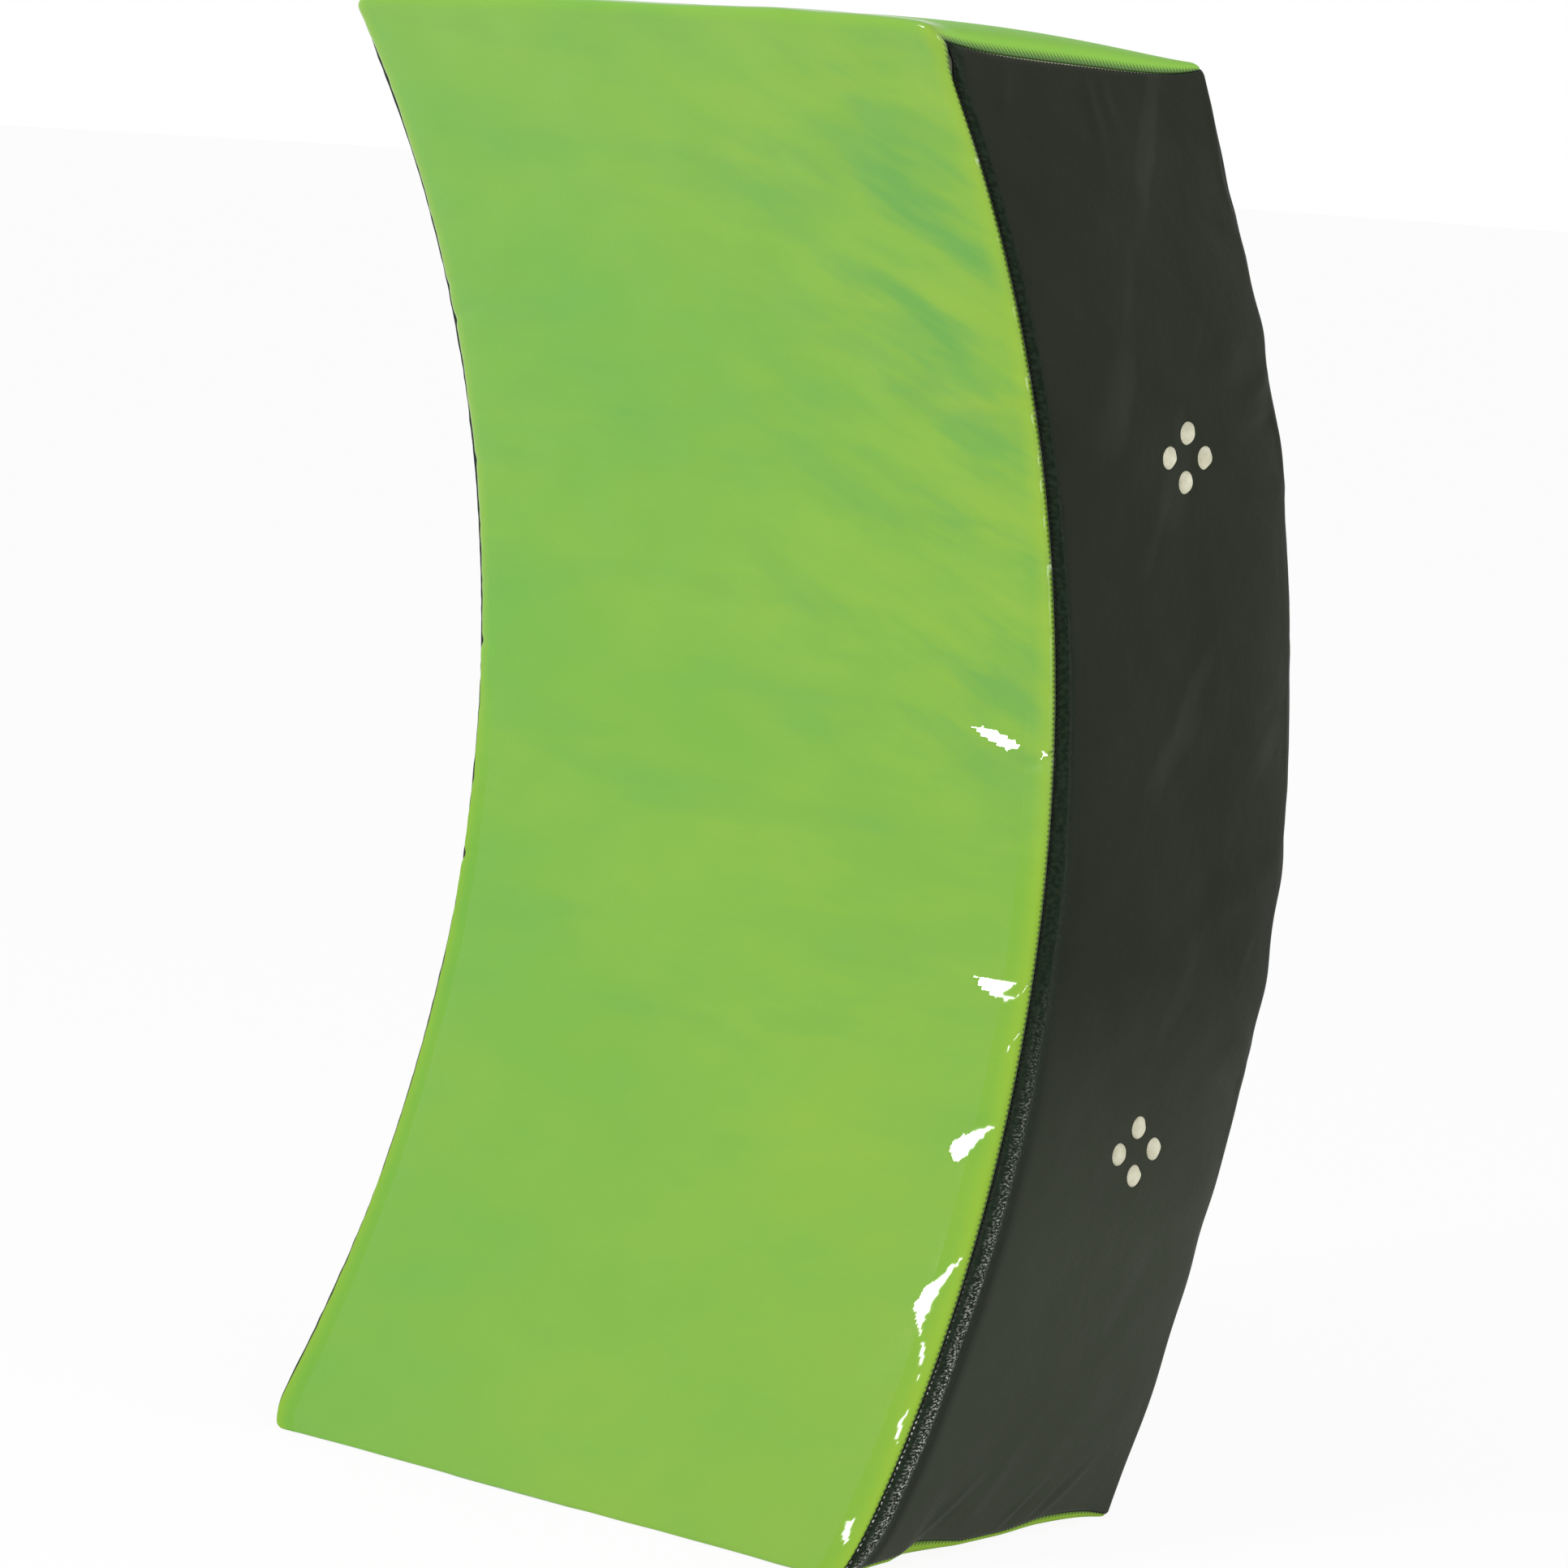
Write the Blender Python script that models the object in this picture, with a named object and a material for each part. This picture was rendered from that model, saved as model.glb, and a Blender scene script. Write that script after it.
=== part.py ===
"""A curved foam tackle wedge: a tall block, hollowed in front and rounded behind, in a sewn cover.

The strike face looks along -Y and stands over the origin at mid height, the back bulges along +Y, and
+Z is up. The block is first laid out straight, as a sharp box of width x, depth q behind the strike face
and height z. Its edges are then rounded, its faces crowned, and the whole is bent to its two arcs.
"""
import math

import bmesh
import bpy
from mathutils import Matrix, Vector

MM = 0.001

# Block: chord height between the corner seams, and the arcs of its two long faces
HEIGHT = 700 * MM
WIDTH = 369 * MM
THICKNESS = 191 * MM
FRONT_SAG = 121 * MM
BACK_SAG = 111 * MM
EDGE_RADIUS = 6 * MM
BASE_RADIUS = 3 * MM
BASE_POWER = 30

# Crowns of the filled cover, and how far its seams are drawn in
FRONT_CROWN = 6 * MM
BACK_CROWN = 5 * MM
SIDE_CROWN = 5 * MM
TOP_CROWN = 10.5 * MM
TOP_FALL = 4 * MM
DRAW_IN = 6 * MM
FOLD_SHARE = 0.65
BULGE_SHARE = 0.48
SLOW_CROWN_SHARE = 0.3
SEAM_POWER = 20
FACE_POWER = 6
SIDE_POWER = 4
END_POWER = 10

# Cover fabric and the clearances between its layers
COVER = 1.5 * MM
LAYER_GAP = 0.4 * MM
SEAM_GAP = 0.45 * MM
TOUCH = 0.3 * MM
OVERRUN = 5 * MM

# Turned seam allowance along each front edge, and the ridge that it raises in the side panel
RIDGE = 2.6 * MM
RIDGE_WIDTH = 13 * MM
RIDGE_START = 1 * MM
RIDGE_END_POWER = 24

# Vents: two diamonds of four punched holes in each side panel
VENT_RADIUS = 5.6 * MM
VENT_DEPTH = 104.5 * MM
VENT_FROM_MID = 166 * MM
VENT_DROP = 3.5 * MM
VENT_SPREAD_ACROSS = 14 * MM
VENT_SPREAD_UP = 11.7 * MM
VENT_LEAN_SHARE = 0.25
VENT_RISE = 2.4 * MM
VENT_ROOM = 0.6 * MM
VENT_SIDES = 12

# Arm straps across the back
STRAP_FROM_MID = 200 * MM
STRAP_SPAN_SHARE = 0.48
STRAP_RISE = 58 * MM
STRAP_AXIS_RISE = 10 * MM
WEB_WIDTH = 50 * MM
WEB_THICKNESS = 2.6 * MM
NECK_WIDTH = 14 * MM
NECK_THICKNESS = 4.6 * MM
NECK_SHARE = 0.14
ANCHOR_TURN = 26 * MM
PAD_WIDTH = 62 * MM
PAD_THICKNESS = 10 * MM
PAD_EDGE = 4 * MM
PAD_START_SHARE = 0.19
PATCH_SIDE_ROOM = 18 * MM
PATCH_BORDER = 8 * MM
PATCH_THICKNESS = 1.4 * MM
PATCH_CORNER = 8 * MM

# Zip across the back, below the top seam
ZIP_BELOW_TOP = 52 * MM
ZIP_SIDE_ROOM = 59 * MM
TOOTH_PITCH = 3.6 * MM
TOOTH_WIDTH = 1.4 * MM
TOOTH_REACH = 1.2 * MM
TOOTH_THICKNESS = 2.6 * MM
SPINE_INNER = 1.9 * MM
SPINE_OUTER = 3.4 * MM
TAPE_OUTER = 14 * MM
TAPE_THICKNESS = 0.7 * MM
TAPE_OVERHANG = 6 * MM
SLOT_HALF_HEIGHT = 6.4 * MM
SLOT_CORNER = 3 * MM
STOP_LENGTH = 4 * MM
STOP_HALF_HEIGHT = 3.2 * MM
STOP_THICKNESS = 3 * MM
SLIDER_LENGTH = 15 * MM
SLIDER_HALF_HEIGHT = 5.2 * MM
SLIDER_PLATE = 1.3 * MM
SLIDER_RAIL = 1.1 * MM
SLIDER_NOSE_SHARE = 0.55
RAIL_INSET = 0.2 * MM
BRIDGE_HALF_LENGTH = 5.4 * MM
BRIDGE_BAR = 1.3 * MM
BRIDGE_HALF_WIDTH = 1.2 * MM
PULL_ROOM = 1.65 * MM
PULL_LENGTH = 28 * MM
PULL_HALF_WIDTH = 4.2 * MM
PULL_TIP_HALF_WIDTH = 3 * MM
PULL_THICKNESS = 1.5 * MM
PULL_BAR = 1.0 * MM
PULL_WINDOW = 7.6 * MM
PULL_WINDOW_HALF_WIDTH = 1.8 * MM

# Loop cuts of the block: places near its edges, as shares of the edge radius, and even cuts between
FINE_SHARES = (0.45, 1.0, 2.0)
CORE_SHARES = (0.6, 2.0)
CUTS_UP = 15
CUTS_ACROSS = 3
CUTS_THROUGH = 2

PARTS = None
CUTTERS = None


def clear_scene():
    for item in list(bpy.data.objects):
        bpy.data.objects.remove(item, do_unlink=True)
    for group in list(bpy.data.collections):
        bpy.data.collections.remove(group)


def make_collections():
    """One collection for the wedge's parts and one for the shapes that cut them."""
    global PARTS, CUTTERS
    PARTS = bpy.data.collections.new("tackle_wedge")
    CUTTERS = bpy.data.collections.new("cutters")
    for group in (PARTS, CUTTERS):
        bpy.context.scene.collection.children.link(group)


def linear(level):
    """A screen colour level from 0 to 255, as the shader's linear value."""
    level = level / 255
    return level / 12.92 if level <= 0.04045 else ((level + 0.055) / 1.055) ** 2.4


def paint(name, red, green, blue, roughness, metallic=0.0):
    material = bpy.data.materials.new(name)
    material.use_nodes = True
    shader = material.node_tree.nodes["Principled BSDF"]
    colour = (linear(red), linear(green), linear(blue), 1.0)
    shader.inputs["Base Color"].default_value = colour
    shader.inputs["Roughness"].default_value = roughness
    shader.inputs["Metallic"].default_value = metallic
    material.diffuse_color = colour
    return material


def make_materials():
    return {
        "green_vinyl": paint("green_vinyl", 136, 188, 81, 0.38),
        "black_vinyl": paint("black_vinyl", 47, 51, 43, 0.5),
        "foam": paint("foam", 214, 210, 182, 0.9),
        "seam": paint("seam", 35, 45, 32, 0.6),
        "webbing": paint("webbing", 30, 31, 31, 0.8),
        "zip_tape": paint("zip_tape", 26, 27, 27, 0.85),
        "zip_plastic": paint("zip_plastic", 22, 22, 23, 0.45),
        "zip_metal": paint("zip_metal", 92, 94, 96, 0.35, 1.0),
    }


def add_part(name, mesh, material, parent=None, group=None):
    piece = bpy.data.objects.new(name, mesh)
    mesh.materials.append(material)
    (group or PARTS).objects.link(piece)
    piece.parent = parent
    return piece


def mesh_from(bm, name, smooth_angle=math.radians(40)):
    bmesh.ops.recalc_face_normals(bm, faces=bm.faces[:])
    mesh = bpy.data.meshes.new(name)
    bm.to_mesh(mesh)
    bm.free()
    mesh.shade_smooth()
    mesh.set_sharp_from_angle(angle=smooth_angle)
    return mesh


def add_empty(name, place, parent=None):
    """A bare frame: place is its matrix, in the parent's frame."""
    frame = bpy.data.objects.new(name, None)
    PARTS.objects.link(frame)
    frame.parent = parent
    frame.matrix_local = place
    return frame


def boolean(piece, tool, operation):
    """Cuts the tool from a piece or joins it on. The tool is kept as a hidden wire shape."""
    tool.hide_render = True
    tool.display_type = "WIRE"
    step = piece.modifiers.new(tool.name, "BOOLEAN")
    step.operation = operation
    step.solver = "EXACT"
    step.object = tool


# Form of the filled cover

def arc_drop(sag, from_mid):
    """How far an arc on the block's chord lies behind its middle, at a height from mid height."""
    radius = ((HEIGHT / 2) ** 2 + sag ** 2) / (2 * sag)
    return math.sqrt(radius ** 2 - from_mid ** 2) - radius


def front_y(z):
    return arc_drop(FRONT_SAG, z - HEIGHT / 2)


def back_y(z):
    return THICKNESS + arc_drop(BACK_SAG, z - HEIGHT / 2)


def even_crown(share, power):
    """A bump that is 1 in the middle and 0 at -1 and 1."""
    return max(0.0, 1 - abs(share) ** power)


def edge_radius(z):
    """The radius of the block's edges: tight around the base, so that it stands, and larger above."""
    return EDGE_RADIUS - (EDGE_RADIUS - BASE_RADIUS) * max(0.0, 1 - z / HEIGHT) ** BASE_POWER


def side_share(x):
    """How far out x lies, from 0 in the middle to 1 at a side seam."""
    return min(1.0, abs(x) / (WIDTH / 2))


def seam_hold(x):
    """1 where the side seams don't draw the cover in, and 0 on them."""
    return math.sqrt(1 - side_share(x) ** SEAM_POWER)


def across_crown(x):
    """The crown from side seam to side seam: steep beside the seams and slow between them."""
    return seam_hold(x) * (1 - SLOW_CROWN_SHARE * side_share(x) ** 2)


def ridge_height(q, z):
    """How far the seam allowance lifts the side panel, q behind the strike face."""
    place = (q - RIDGE_START) / RIDGE_WIDTH
    if not 0 < place < 1:
        return 0.0
    fade = even_crown(2 * z / HEIGHT - 1, RIDGE_END_POWER)
    return RIDGE * math.sin(math.pi * place) ** 2 * fade


def skin(x, q, z, inward=0.0, ridge=0.0):
    """Where a point of the sharp, straight block lies on the rounded, crowned and bent one.

    inward is the depth below the cover's outer face, and ridge is 1 where the front ridge shows.
    """
    half, inset = WIDTH / 2, edge_radius(z)
    flat = Vector((x, q, z))
    core = Vector((
        max(-half + inset, min(half - inset, x)),
        max(inset, min(THICKNESS - inset, q)),
        max(inset, min(HEIGHT - inset, z)),
    ))
    place = core + (flat - core).normalized() * (inset - inward)
    depth = q / THICKNESS
    through = even_crown(2 * depth - 1, SIDE_POWER)
    up = even_crown(2 * z / HEIGHT - 1, FACE_POWER)
    across = across_crown(x)
    near_top = (z / HEIGHT) ** END_POWER
    near_floor = (1 - z / HEIGHT) ** END_POWER
    place.x += x / half * (SIDE_CROWN * through * up + ridge * ridge_height(q, z))
    place.y += (BACK_CROWN * depth - FRONT_CROWN * (1 - depth)) * across * up
    lift = FOLD_SHARE * (1 - depth) + BULGE_SHARE * 4 * depth * (1 - depth)
    place.z += near_top * (TOP_CROWN * across * lift - TOP_FALL * depth)
    place.z += (near_floor - near_top) * DRAW_IN * through * (1 - seam_hold(x))
    share = place.y / THICKNESS
    place.y = front_y(place.z) * (1 - share) + back_y(place.z) * share
    return place


def cuts(length, shares, middle, start=0.0):
    """Loop cuts along one side of the block: close together near both ends, and even between."""
    near = [EDGE_RADIUS * share for share in shares]
    first, last = near[-1], length - near[-1]
    even = [first + (last - first) * k / (middle + 1) for k in range(1, middle + 1)]
    places = near + even + [length - n for n in near]
    return [start + place for place in places]


def cut_block(low, high, across, through, up):
    """A sharp box between two corners, with loop cuts at the given places."""
    bm = bmesh.new()
    bmesh.ops.create_cube(bm, size=1)
    for vert in bm.verts:
        vert.co = [a if side < 0 else b for side, a, b in zip(vert.co, low, high)]
    for axis, places in enumerate((across, through, up)):
        normal = Vector((0, 0, 0))
        normal[axis] = 1
        for place in places:
            if low[axis] < place < high[axis]:
                geometry = bm.verts[:] + bm.edges[:] + bm.faces[:]
                bmesh.ops.bisect_plane(bm, geom=geometry, plane_co=normal * place, plane_no=normal)
    return bm


def whole_block(shares):
    return cut_block(
        (-WIDTH / 2, 0, 0), (WIDTH / 2, THICKNESS, HEIGHT),
        cuts(WIDTH, shares, CUTS_ACROSS, -WIDTH / 2),
        cuts(THICKNESS, shares, CUTS_THROUGH),
        cuts(HEIGHT, shares, CUTS_UP),
    )


def keep_faces(bm, wanted):
    """Deletes the block's faces whose outward normal the panel doesn't cover."""
    bm.normal_update()
    loose = [face for face in bm.faces if not wanted(face.normal)]
    bmesh.ops.delete(bm, geom=loose, context="FACES")


def layer(name, bm, low, high, outer, inner):
    """A sheet of the cover: the open surface in bm, given its two faces.

    low and high hold its edges back from the seams, and outer and inner are each face's depth and ridge.
    """
    made = bmesh.ops.extrude_face_region(bm, geom=bm.faces[:], use_keep_orig=True)
    inside = {item for item in made["geom"] if isinstance(item, bmesh.types.BMVert)}
    for vert in bm.verts:
        inward, ridge = inner if vert in inside else outer
        x, q, z = (max(a, min(b, c)) for a, b, c in zip(low, high, vert.co))
        vert.co = skin(x, q, z, inward, ridge)
    return mesh_from(bm, name)


def make_face_wrap(materials):
    """One strip of green vinyl over the strike face, folded over the top and under the base."""
    bm = whole_block(FINE_SHARES)
    keep_faces(bm, lambda normal: normal.y < -0.5 or abs(normal.z) > 0.5)
    low = (-WIDTH / 2 + SEAM_GAP, 0, 0)
    high = (WIDTH / 2 - SEAM_GAP, THICKNESS - SEAM_GAP, HEIGHT)
    mesh = layer("face_wrap", bm, low, high, (0, 0), (COVER, 0))
    return add_part("face_wrap", mesh, materials["green_vinyl"])


def make_back_panel(materials, cutters):
    bm = whole_block(FINE_SHARES)
    keep_faces(bm, lambda normal: normal.y > 0.5)
    low = (-WIDTH / 2 + SEAM_GAP, 0, SEAM_GAP)
    high = (WIDTH / 2 - SEAM_GAP, THICKNESS, HEIGHT - SEAM_GAP)
    mesh = layer("back_panel", bm, low, high, (0, 0), (COVER, 0))
    panel = add_part("back_panel", mesh, materials["black_vinyl"])
    for cutter in cutters:
        boolean(panel, cutter, "DIFFERENCE")
    return panel


def make_side_panel(side, name, materials, punch):
    """A side panel with the front seam's ridge along its front edge and its vents punched through."""
    ridge_cuts = [RIDGE_START + RIDGE_WIDTH * k / 4 for k in range(5)]
    near_back = [THICKNESS - EDGE_RADIUS * share for share in FINE_SHARES]
    even = [THICKNESS * k / (CUTS_THROUGH + 1) for k in range(1, CUTS_THROUGH + 1)]
    bm = cut_block(
        (-WIDTH / 2, 0, 0), (WIDTH / 2, THICKNESS, HEIGHT),
        (), ridge_cuts + even + near_back, cuts(HEIGHT, FINE_SHARES, CUTS_UP),
    )
    keep_faces(bm, lambda normal: normal.x * side > 0.5)
    low = (-WIDTH / 2, SEAM_GAP, SEAM_GAP)
    high = (WIDTH / 2, THICKNESS - SEAM_GAP, HEIGHT - SEAM_GAP)
    mesh = layer(name, bm, low, high, (0, 1), (COVER, 1))
    panel = add_part(name, mesh, materials["black_vinyl"])
    boolean(panel, punch, "DIFFERENCE")
    return panel


def make_seam_roll(side, name, materials):
    """The turned seam allowance under the ridge: it fills the space between ridge and foam."""
    first, middle, last = [RIDGE_START + RIDGE_WIDTH * k / 4 for k in (1, 2, 3)]
    end = EDGE_RADIUS * FINE_SHARES[-1]
    bm = cut_block(
        (-WIDTH / 2, first, end), (WIDTH / 2, last, HEIGHT - end),
        (), [middle], cuts(HEIGHT, FINE_SHARES, CUTS_UP),
    )
    keep_faces(bm, lambda normal: normal.x * side > 0.5)
    depth = COVER + LAYER_GAP
    edge = (WIDTH / 2, THICKNESS, HEIGHT)
    mesh = layer(name, bm, [-size for size in edge], edge, (depth, 1), (depth, 0))
    return add_part(name, mesh, materials["seam"])


def vent_places():
    """The middle of each vent, as depth and height on the straight block.

    Both diamonds lean there, so that they stand upright once the block is bent.
    """
    spots = []
    for level in (-1, 1):
        middle = HEIGHT / 2 - VENT_DROP + level * VENT_FROM_MID
        for across, up in ((-1, 0), (1, 0), (0, -1), (0, 1)):
            rise = up * VENT_SPREAD_UP
            lean = level * VENT_LEAN_SHARE * rise
            spots.append((VENT_DEPTH + across * VENT_SPREAD_ACROSS + lean, middle + rise))
    return spots


def make_vent_punch(materials):
    """A row of round punches, each through both side panels."""
    bm = bmesh.new()
    length = WIDTH + 2 * SIDE_CROWN + 2 * OVERRUN
    for q, z in vent_places():
        middle = skin(WIDTH / 2, q, z)
        place = Matrix.Translation((0, middle.y, middle.z)) @ Matrix.Rotation(math.pi / 2, 4, "Y")
        bmesh.ops.create_cone(
            bm, cap_ends=True, segments=VENT_SIDES, radius1=VENT_RADIUS, radius2=VENT_RADIUS,
            depth=length, matrix=place,
        )
    return add_part("vent_punch", mesh_from(bm, "vent_punch"), materials["seam"], group=CUTTERS)


def make_vent_domes(materials):
    """The foam that swells out through each vent, as a flattened ball half sunk in the core."""
    bm = bmesh.new()
    sink = COVER + 2 * LAYER_GAP + VENT_ROOM
    for side in (-1, 1):
        for q, z in vent_places():
            place = skin(side * WIDTH / 2, q, z, sink)
            radius = VENT_RADIUS - VENT_ROOM
            scale = Matrix.Diagonal((sink + VENT_RISE, radius, radius, 1))
            bmesh.ops.create_uvsphere(
                bm, u_segments=8, v_segments=6, radius=1,
                matrix=Matrix.Translation(place) @ scale @ Matrix.Rotation(math.pi / 2, 4, "Y"),
            )
    return add_part("vent_domes", mesh_from(bm, "vent_domes"), materials["foam"], group=CUTTERS)


def make_foam_core(materials, domes, trough):
    """The foam block, as the cover holds it, with its vent domes and the hollow behind the zip."""
    bm = whole_block(CORE_SHARES)
    for vert in bm.verts:
        vert.co = skin(*vert.co, COVER + 2 * LAYER_GAP)
    core = add_part("foam_core", mesh_from(bm, "foam_core"), materials["foam"])
    boolean(core, trough, "DIFFERENCE")
    boolean(core, domes, "UNION")
    return core


# Pieces on the back

def back_frame(z, inward=0.0):
    """A frame on the back panel at x = 0: X across, Y out of the panel and Z up along it."""
    step = EDGE_RADIUS
    origin = skin(0, THICKNESS, z, inward)
    up = (skin(0, THICKNESS, z + step) - skin(0, THICKNESS, z - step)).normalized()
    across = Vector((1, 0, 0))
    out = up.cross(across)
    frame = Matrix((across, out, up)).transposed().to_4x4()
    frame.translation = origin
    return frame


def back_height(frame, x, z):
    """How far the back panel stands out along the frame's Y, at x and at height z on the block."""
    return (frame.inverted() @ skin(x, THICKNESS, z)).y


def ring_section(x, middle, half_out, half_up, chamfer_share=0.35):
    """An eight-sided strap section in the plane of constant x."""
    corner = half_out * chamfer_share
    outline = (
        (half_out, half_up - corner), (half_out - corner, half_up),
        (corner - half_out, half_up), (-half_out, half_up - corner),
        (-half_out, corner - half_up), (corner - half_out, -half_up),
        (half_out - corner, -half_up), (half_out, corner - half_up),
    )
    return [Vector((x, middle + out, up)) for out, up in outline]


def loft(name, sections):
    """A closed skin through equal rings of points, with a face across each end."""
    bm = bmesh.new()
    rings = [[bm.verts.new(point) for point in section] for section in sections]
    count = len(rings[0])
    for ring, after in zip(rings, rings[1:]):
        for k in range(count):
            bm.faces.new((ring[k], ring[(k + 1) % count], after[(k + 1) % count], after[k]))
    bm.faces.new(rings[0])
    bm.faces.new(rings[-1])
    return mesh_from(bm, name)


def smooth_step(share):
    share = max(0.0, min(1.0, share))
    return share * share * (3 - 2 * share)


def strap_half_span():
    """How far from the middle a strap's loop meets its sewn ends."""
    return WIDTH / 2 * STRAP_SPAN_SHARE


def strap_line(share):
    """The webbing's middle line from end to end: place across, height over its axis, and slope."""
    x = strap_half_span() * (2 * share - 1)
    height = STRAP_RISE * math.sin(math.pi * share)
    slope = STRAP_RISE * math.pi / (2 * strap_half_span()) * math.cos(math.pi * share)
    return x, height, math.sqrt(1 + slope ** 2)


def make_strap_web(name, axis, materials):
    """The webbing loop: narrow where it leaves its sewn ends, full width over the arm."""
    sections = []
    steps = 24
    for k in range(steps + 1):
        share = k / steps
        x, height, stretch = strap_line(share)
        open_share = smooth_step(min(share, 1 - share) / NECK_SHARE)
        width = NECK_WIDTH + (WEB_WIDTH - NECK_WIDTH) * open_share
        thickness = NECK_THICKNESS + (WEB_THICKNESS - NECK_THICKNESS) * open_share
        sections.append(ring_section(x, height, thickness / 2 * stretch, width / 2))
    return add_part(name, loft(name, sections), materials["webbing"], axis)


def make_strap_pad(name, axis, materials):
    """The arm pad under the webbing: full along its middle, thin at its bound edges and ends."""
    sections = []
    steps = 12
    for k in range(steps + 1):
        along = 2 * k / steps - 1
        share = 0.5 + along * (0.5 - PAD_START_SHARE)
        x, height, stretch = strap_line(share)
        end = math.sqrt(1 - 0.75 * along ** 8)
        top = height - (WEB_THICKNESS / 2) * stretch - TOUCH
        half_width = PAD_WIDTH / 2 * end
        section = [Vector((x, top, half_width * side)) for side in (1, 0.5, 0, -0.5, -1)]
        for side in (-1, -0.75, -0.4, 0, 0.4, 0.75, 1):
            fill = math.sqrt(1 - 0.9 * side ** 2)
            deep = (PAD_EDGE + (PAD_THICKNESS - PAD_EDGE) * fill * end) * stretch
            section.append(Vector((x, top - deep, half_width * side)))
        sections.append(section)
    return add_part(name, loft(name, sections), materials["webbing"], axis)


def make_anchor(name, side, frame, z, materials):
    """A strap's sewn end: flat on its patch, gathered and turned up to the neck of the loop."""
    local = frame.matrix_world
    start = strap_half_span() + TOUCH
    length = patch_ends()[1] - PATCH_BORDER - start
    sections = []
    steps = 12
    for k in range(steps + 1):
        along = length * (k / steps) ** 1.4
        x = start + along
        turn = max(0.0, 1 - along / ANCHOR_TURN)
        open_share = smooth_step(along / ANCHOR_TURN)
        width = NECK_WIDTH + (WEB_WIDTH - NECK_WIDTH) * open_share
        thickness = NECK_THICKNESS + (WEB_THICKNESS - NECK_THICKNESS) * open_share
        seat = back_height(local, side * x, z) + PATCH_THICKNESS + 2 * TOUCH + thickness / 2
        middle = seat + (STRAP_AXIS_RISE - seat) * turn ** 2
        sections.append(ring_section(side * x, middle, thickness / 2, width / 2))
    return add_part(name, loft(name, sections), materials["webbing"], frame)


def patch_ends():
    """How far from the middle a patch starts, under the webbing's turn, and stops, short of the seam."""
    return strap_half_span() + ANCHOR_TURN / 2, WIDTH / 2 - PATCH_SIDE_ROOM


def make_patch(name, side, z, materials):
    """A reinforcing patch on the back panel, under a strap's sewn end, with cut corners."""
    near, far = patch_ends()
    middle, half_length = side * (near + far) / 2, (far - near) / 2
    half_height = WEB_WIDTH / 2 + PATCH_BORDER
    low_x, high_x = middle - half_length, middle + half_length
    low_z, high_z = z - half_height, z + half_height
    bm = cut_block(
        (low_x, 0, low_z), (high_x, THICKNESS, high_z),
        (low_x + PATCH_CORNER, middle, high_x - PATCH_CORNER), (),
        (low_z + PATCH_CORNER, z, high_z - PATCH_CORNER),
    )
    keep_faces(bm, lambda normal: normal.y > 0.5)
    for vert in bm.verts:
        x, up = vert.co.x - middle, vert.co.z - z
        if abs(x) > half_length - TOUCH and abs(up) > half_height - TOUCH:
            vert.co.x -= math.copysign(PATCH_CORNER / 3, x)
            vert.co.z -= math.copysign(PATCH_CORNER / 3, up)
    edge = (WIDTH, THICKNESS, HEIGHT)
    outer, inner = (-TOUCH - PATCH_THICKNESS, 0), (-TOUCH, 0)
    mesh = layer(name, bm, [-size for size in edge], edge, outer, inner)
    return add_part(name, mesh, materials["black_vinyl"])


def make_strap(level, name, materials):
    """One arm strap: its loop and pad turn about the line through its two sewn ends."""
    z = HEIGHT / 2 + level * STRAP_FROM_MID
    frame = add_empty(f"strap_{name}_seat", back_frame(z))
    axis = add_empty(f"strap_{name}_axis", Matrix.Translation((0, STRAP_AXIS_RISE, 0)), frame)
    bpy.context.view_layer.update()
    make_strap_web(f"strap_web_{name}", axis, materials)
    make_strap_pad(f"strap_pad_{name}", axis, materials)
    for side, hand in ((1, "right"), (-1, "left")):
        make_anchor(f"strap_anchor_{name}_{hand}", side, frame, z, materials)
        make_patch(f"strap_patch_{name}_{hand}", side, z, materials)


def box_mesh(name, low, high, bevel=0.0):
    bm = bmesh.new()
    bmesh.ops.create_cube(bm, size=1)
    for vert in bm.verts:
        vert.co = [a if side < 0 else b for side, a, b in zip(vert.co, low, high)]
    if bevel:
        bmesh.ops.bevel(bm, geom=bm.edges[:], offset=bevel, segments=1, affect="EDGES")
    return mesh_from(bm, name, math.radians(20))


def outline_mesh(name, outlines, thickness):
    """A flat plate from closed outlines of x and height, the first around it and the rest its windows."""
    curve = bpy.data.curves.new(name, "CURVE")
    curve.dimensions = "2D"
    curve.fill_mode = "BOTH"
    curve.extrude = thickness / 2
    for outline in outlines:
        spline = curve.splines.new("POLY")
        spline.points.add(len(outline) - 1)
        for point, (x, up) in zip(spline.points, outline):
            point.co = (x, up, 0, 1)
        spline.use_cyclic_u = True
    guide = bpy.data.objects.new(name, curve)
    PARTS.objects.link(guide)
    bpy.context.view_layer.update()
    graph = bpy.context.evaluated_depsgraph_get()
    mesh = bpy.data.meshes.new_from_object(guide.evaluated_get(graph))
    bpy.data.objects.remove(guide, do_unlink=True)
    bm = bmesh.new()
    bm.from_mesh(mesh)
    bmesh.ops.remove_doubles(bm, verts=bm.verts[:], dist=TOUCH / 10)
    bmesh.ops.rotate(bm, verts=bm.verts[:], matrix=Matrix.Rotation(math.pi / 2, 3, "X"))
    bpy.data.meshes.remove(mesh)
    return mesh_from(bm, name, math.radians(20))


def zip_row_length():
    return WIDTH - 2 * ZIP_SIDE_ROOM


def tape_half_length():
    return zip_row_length() / 2 + STOP_LENGTH + TAPE_OVERHANG


def tape_sink(frame):
    """How far the flat tapes lie under the crowned panel's outer face, clear of its inner one."""
    deepest = 0.0
    for x in (0, tape_half_length()):
        for up in (-TAPE_OUTER, 0, TAPE_OUTER):
            deepest = max(deepest, -back_height(frame.matrix_world, x, zip_height() + up))
    return deepest + COVER + 2 * TOUCH


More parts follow.
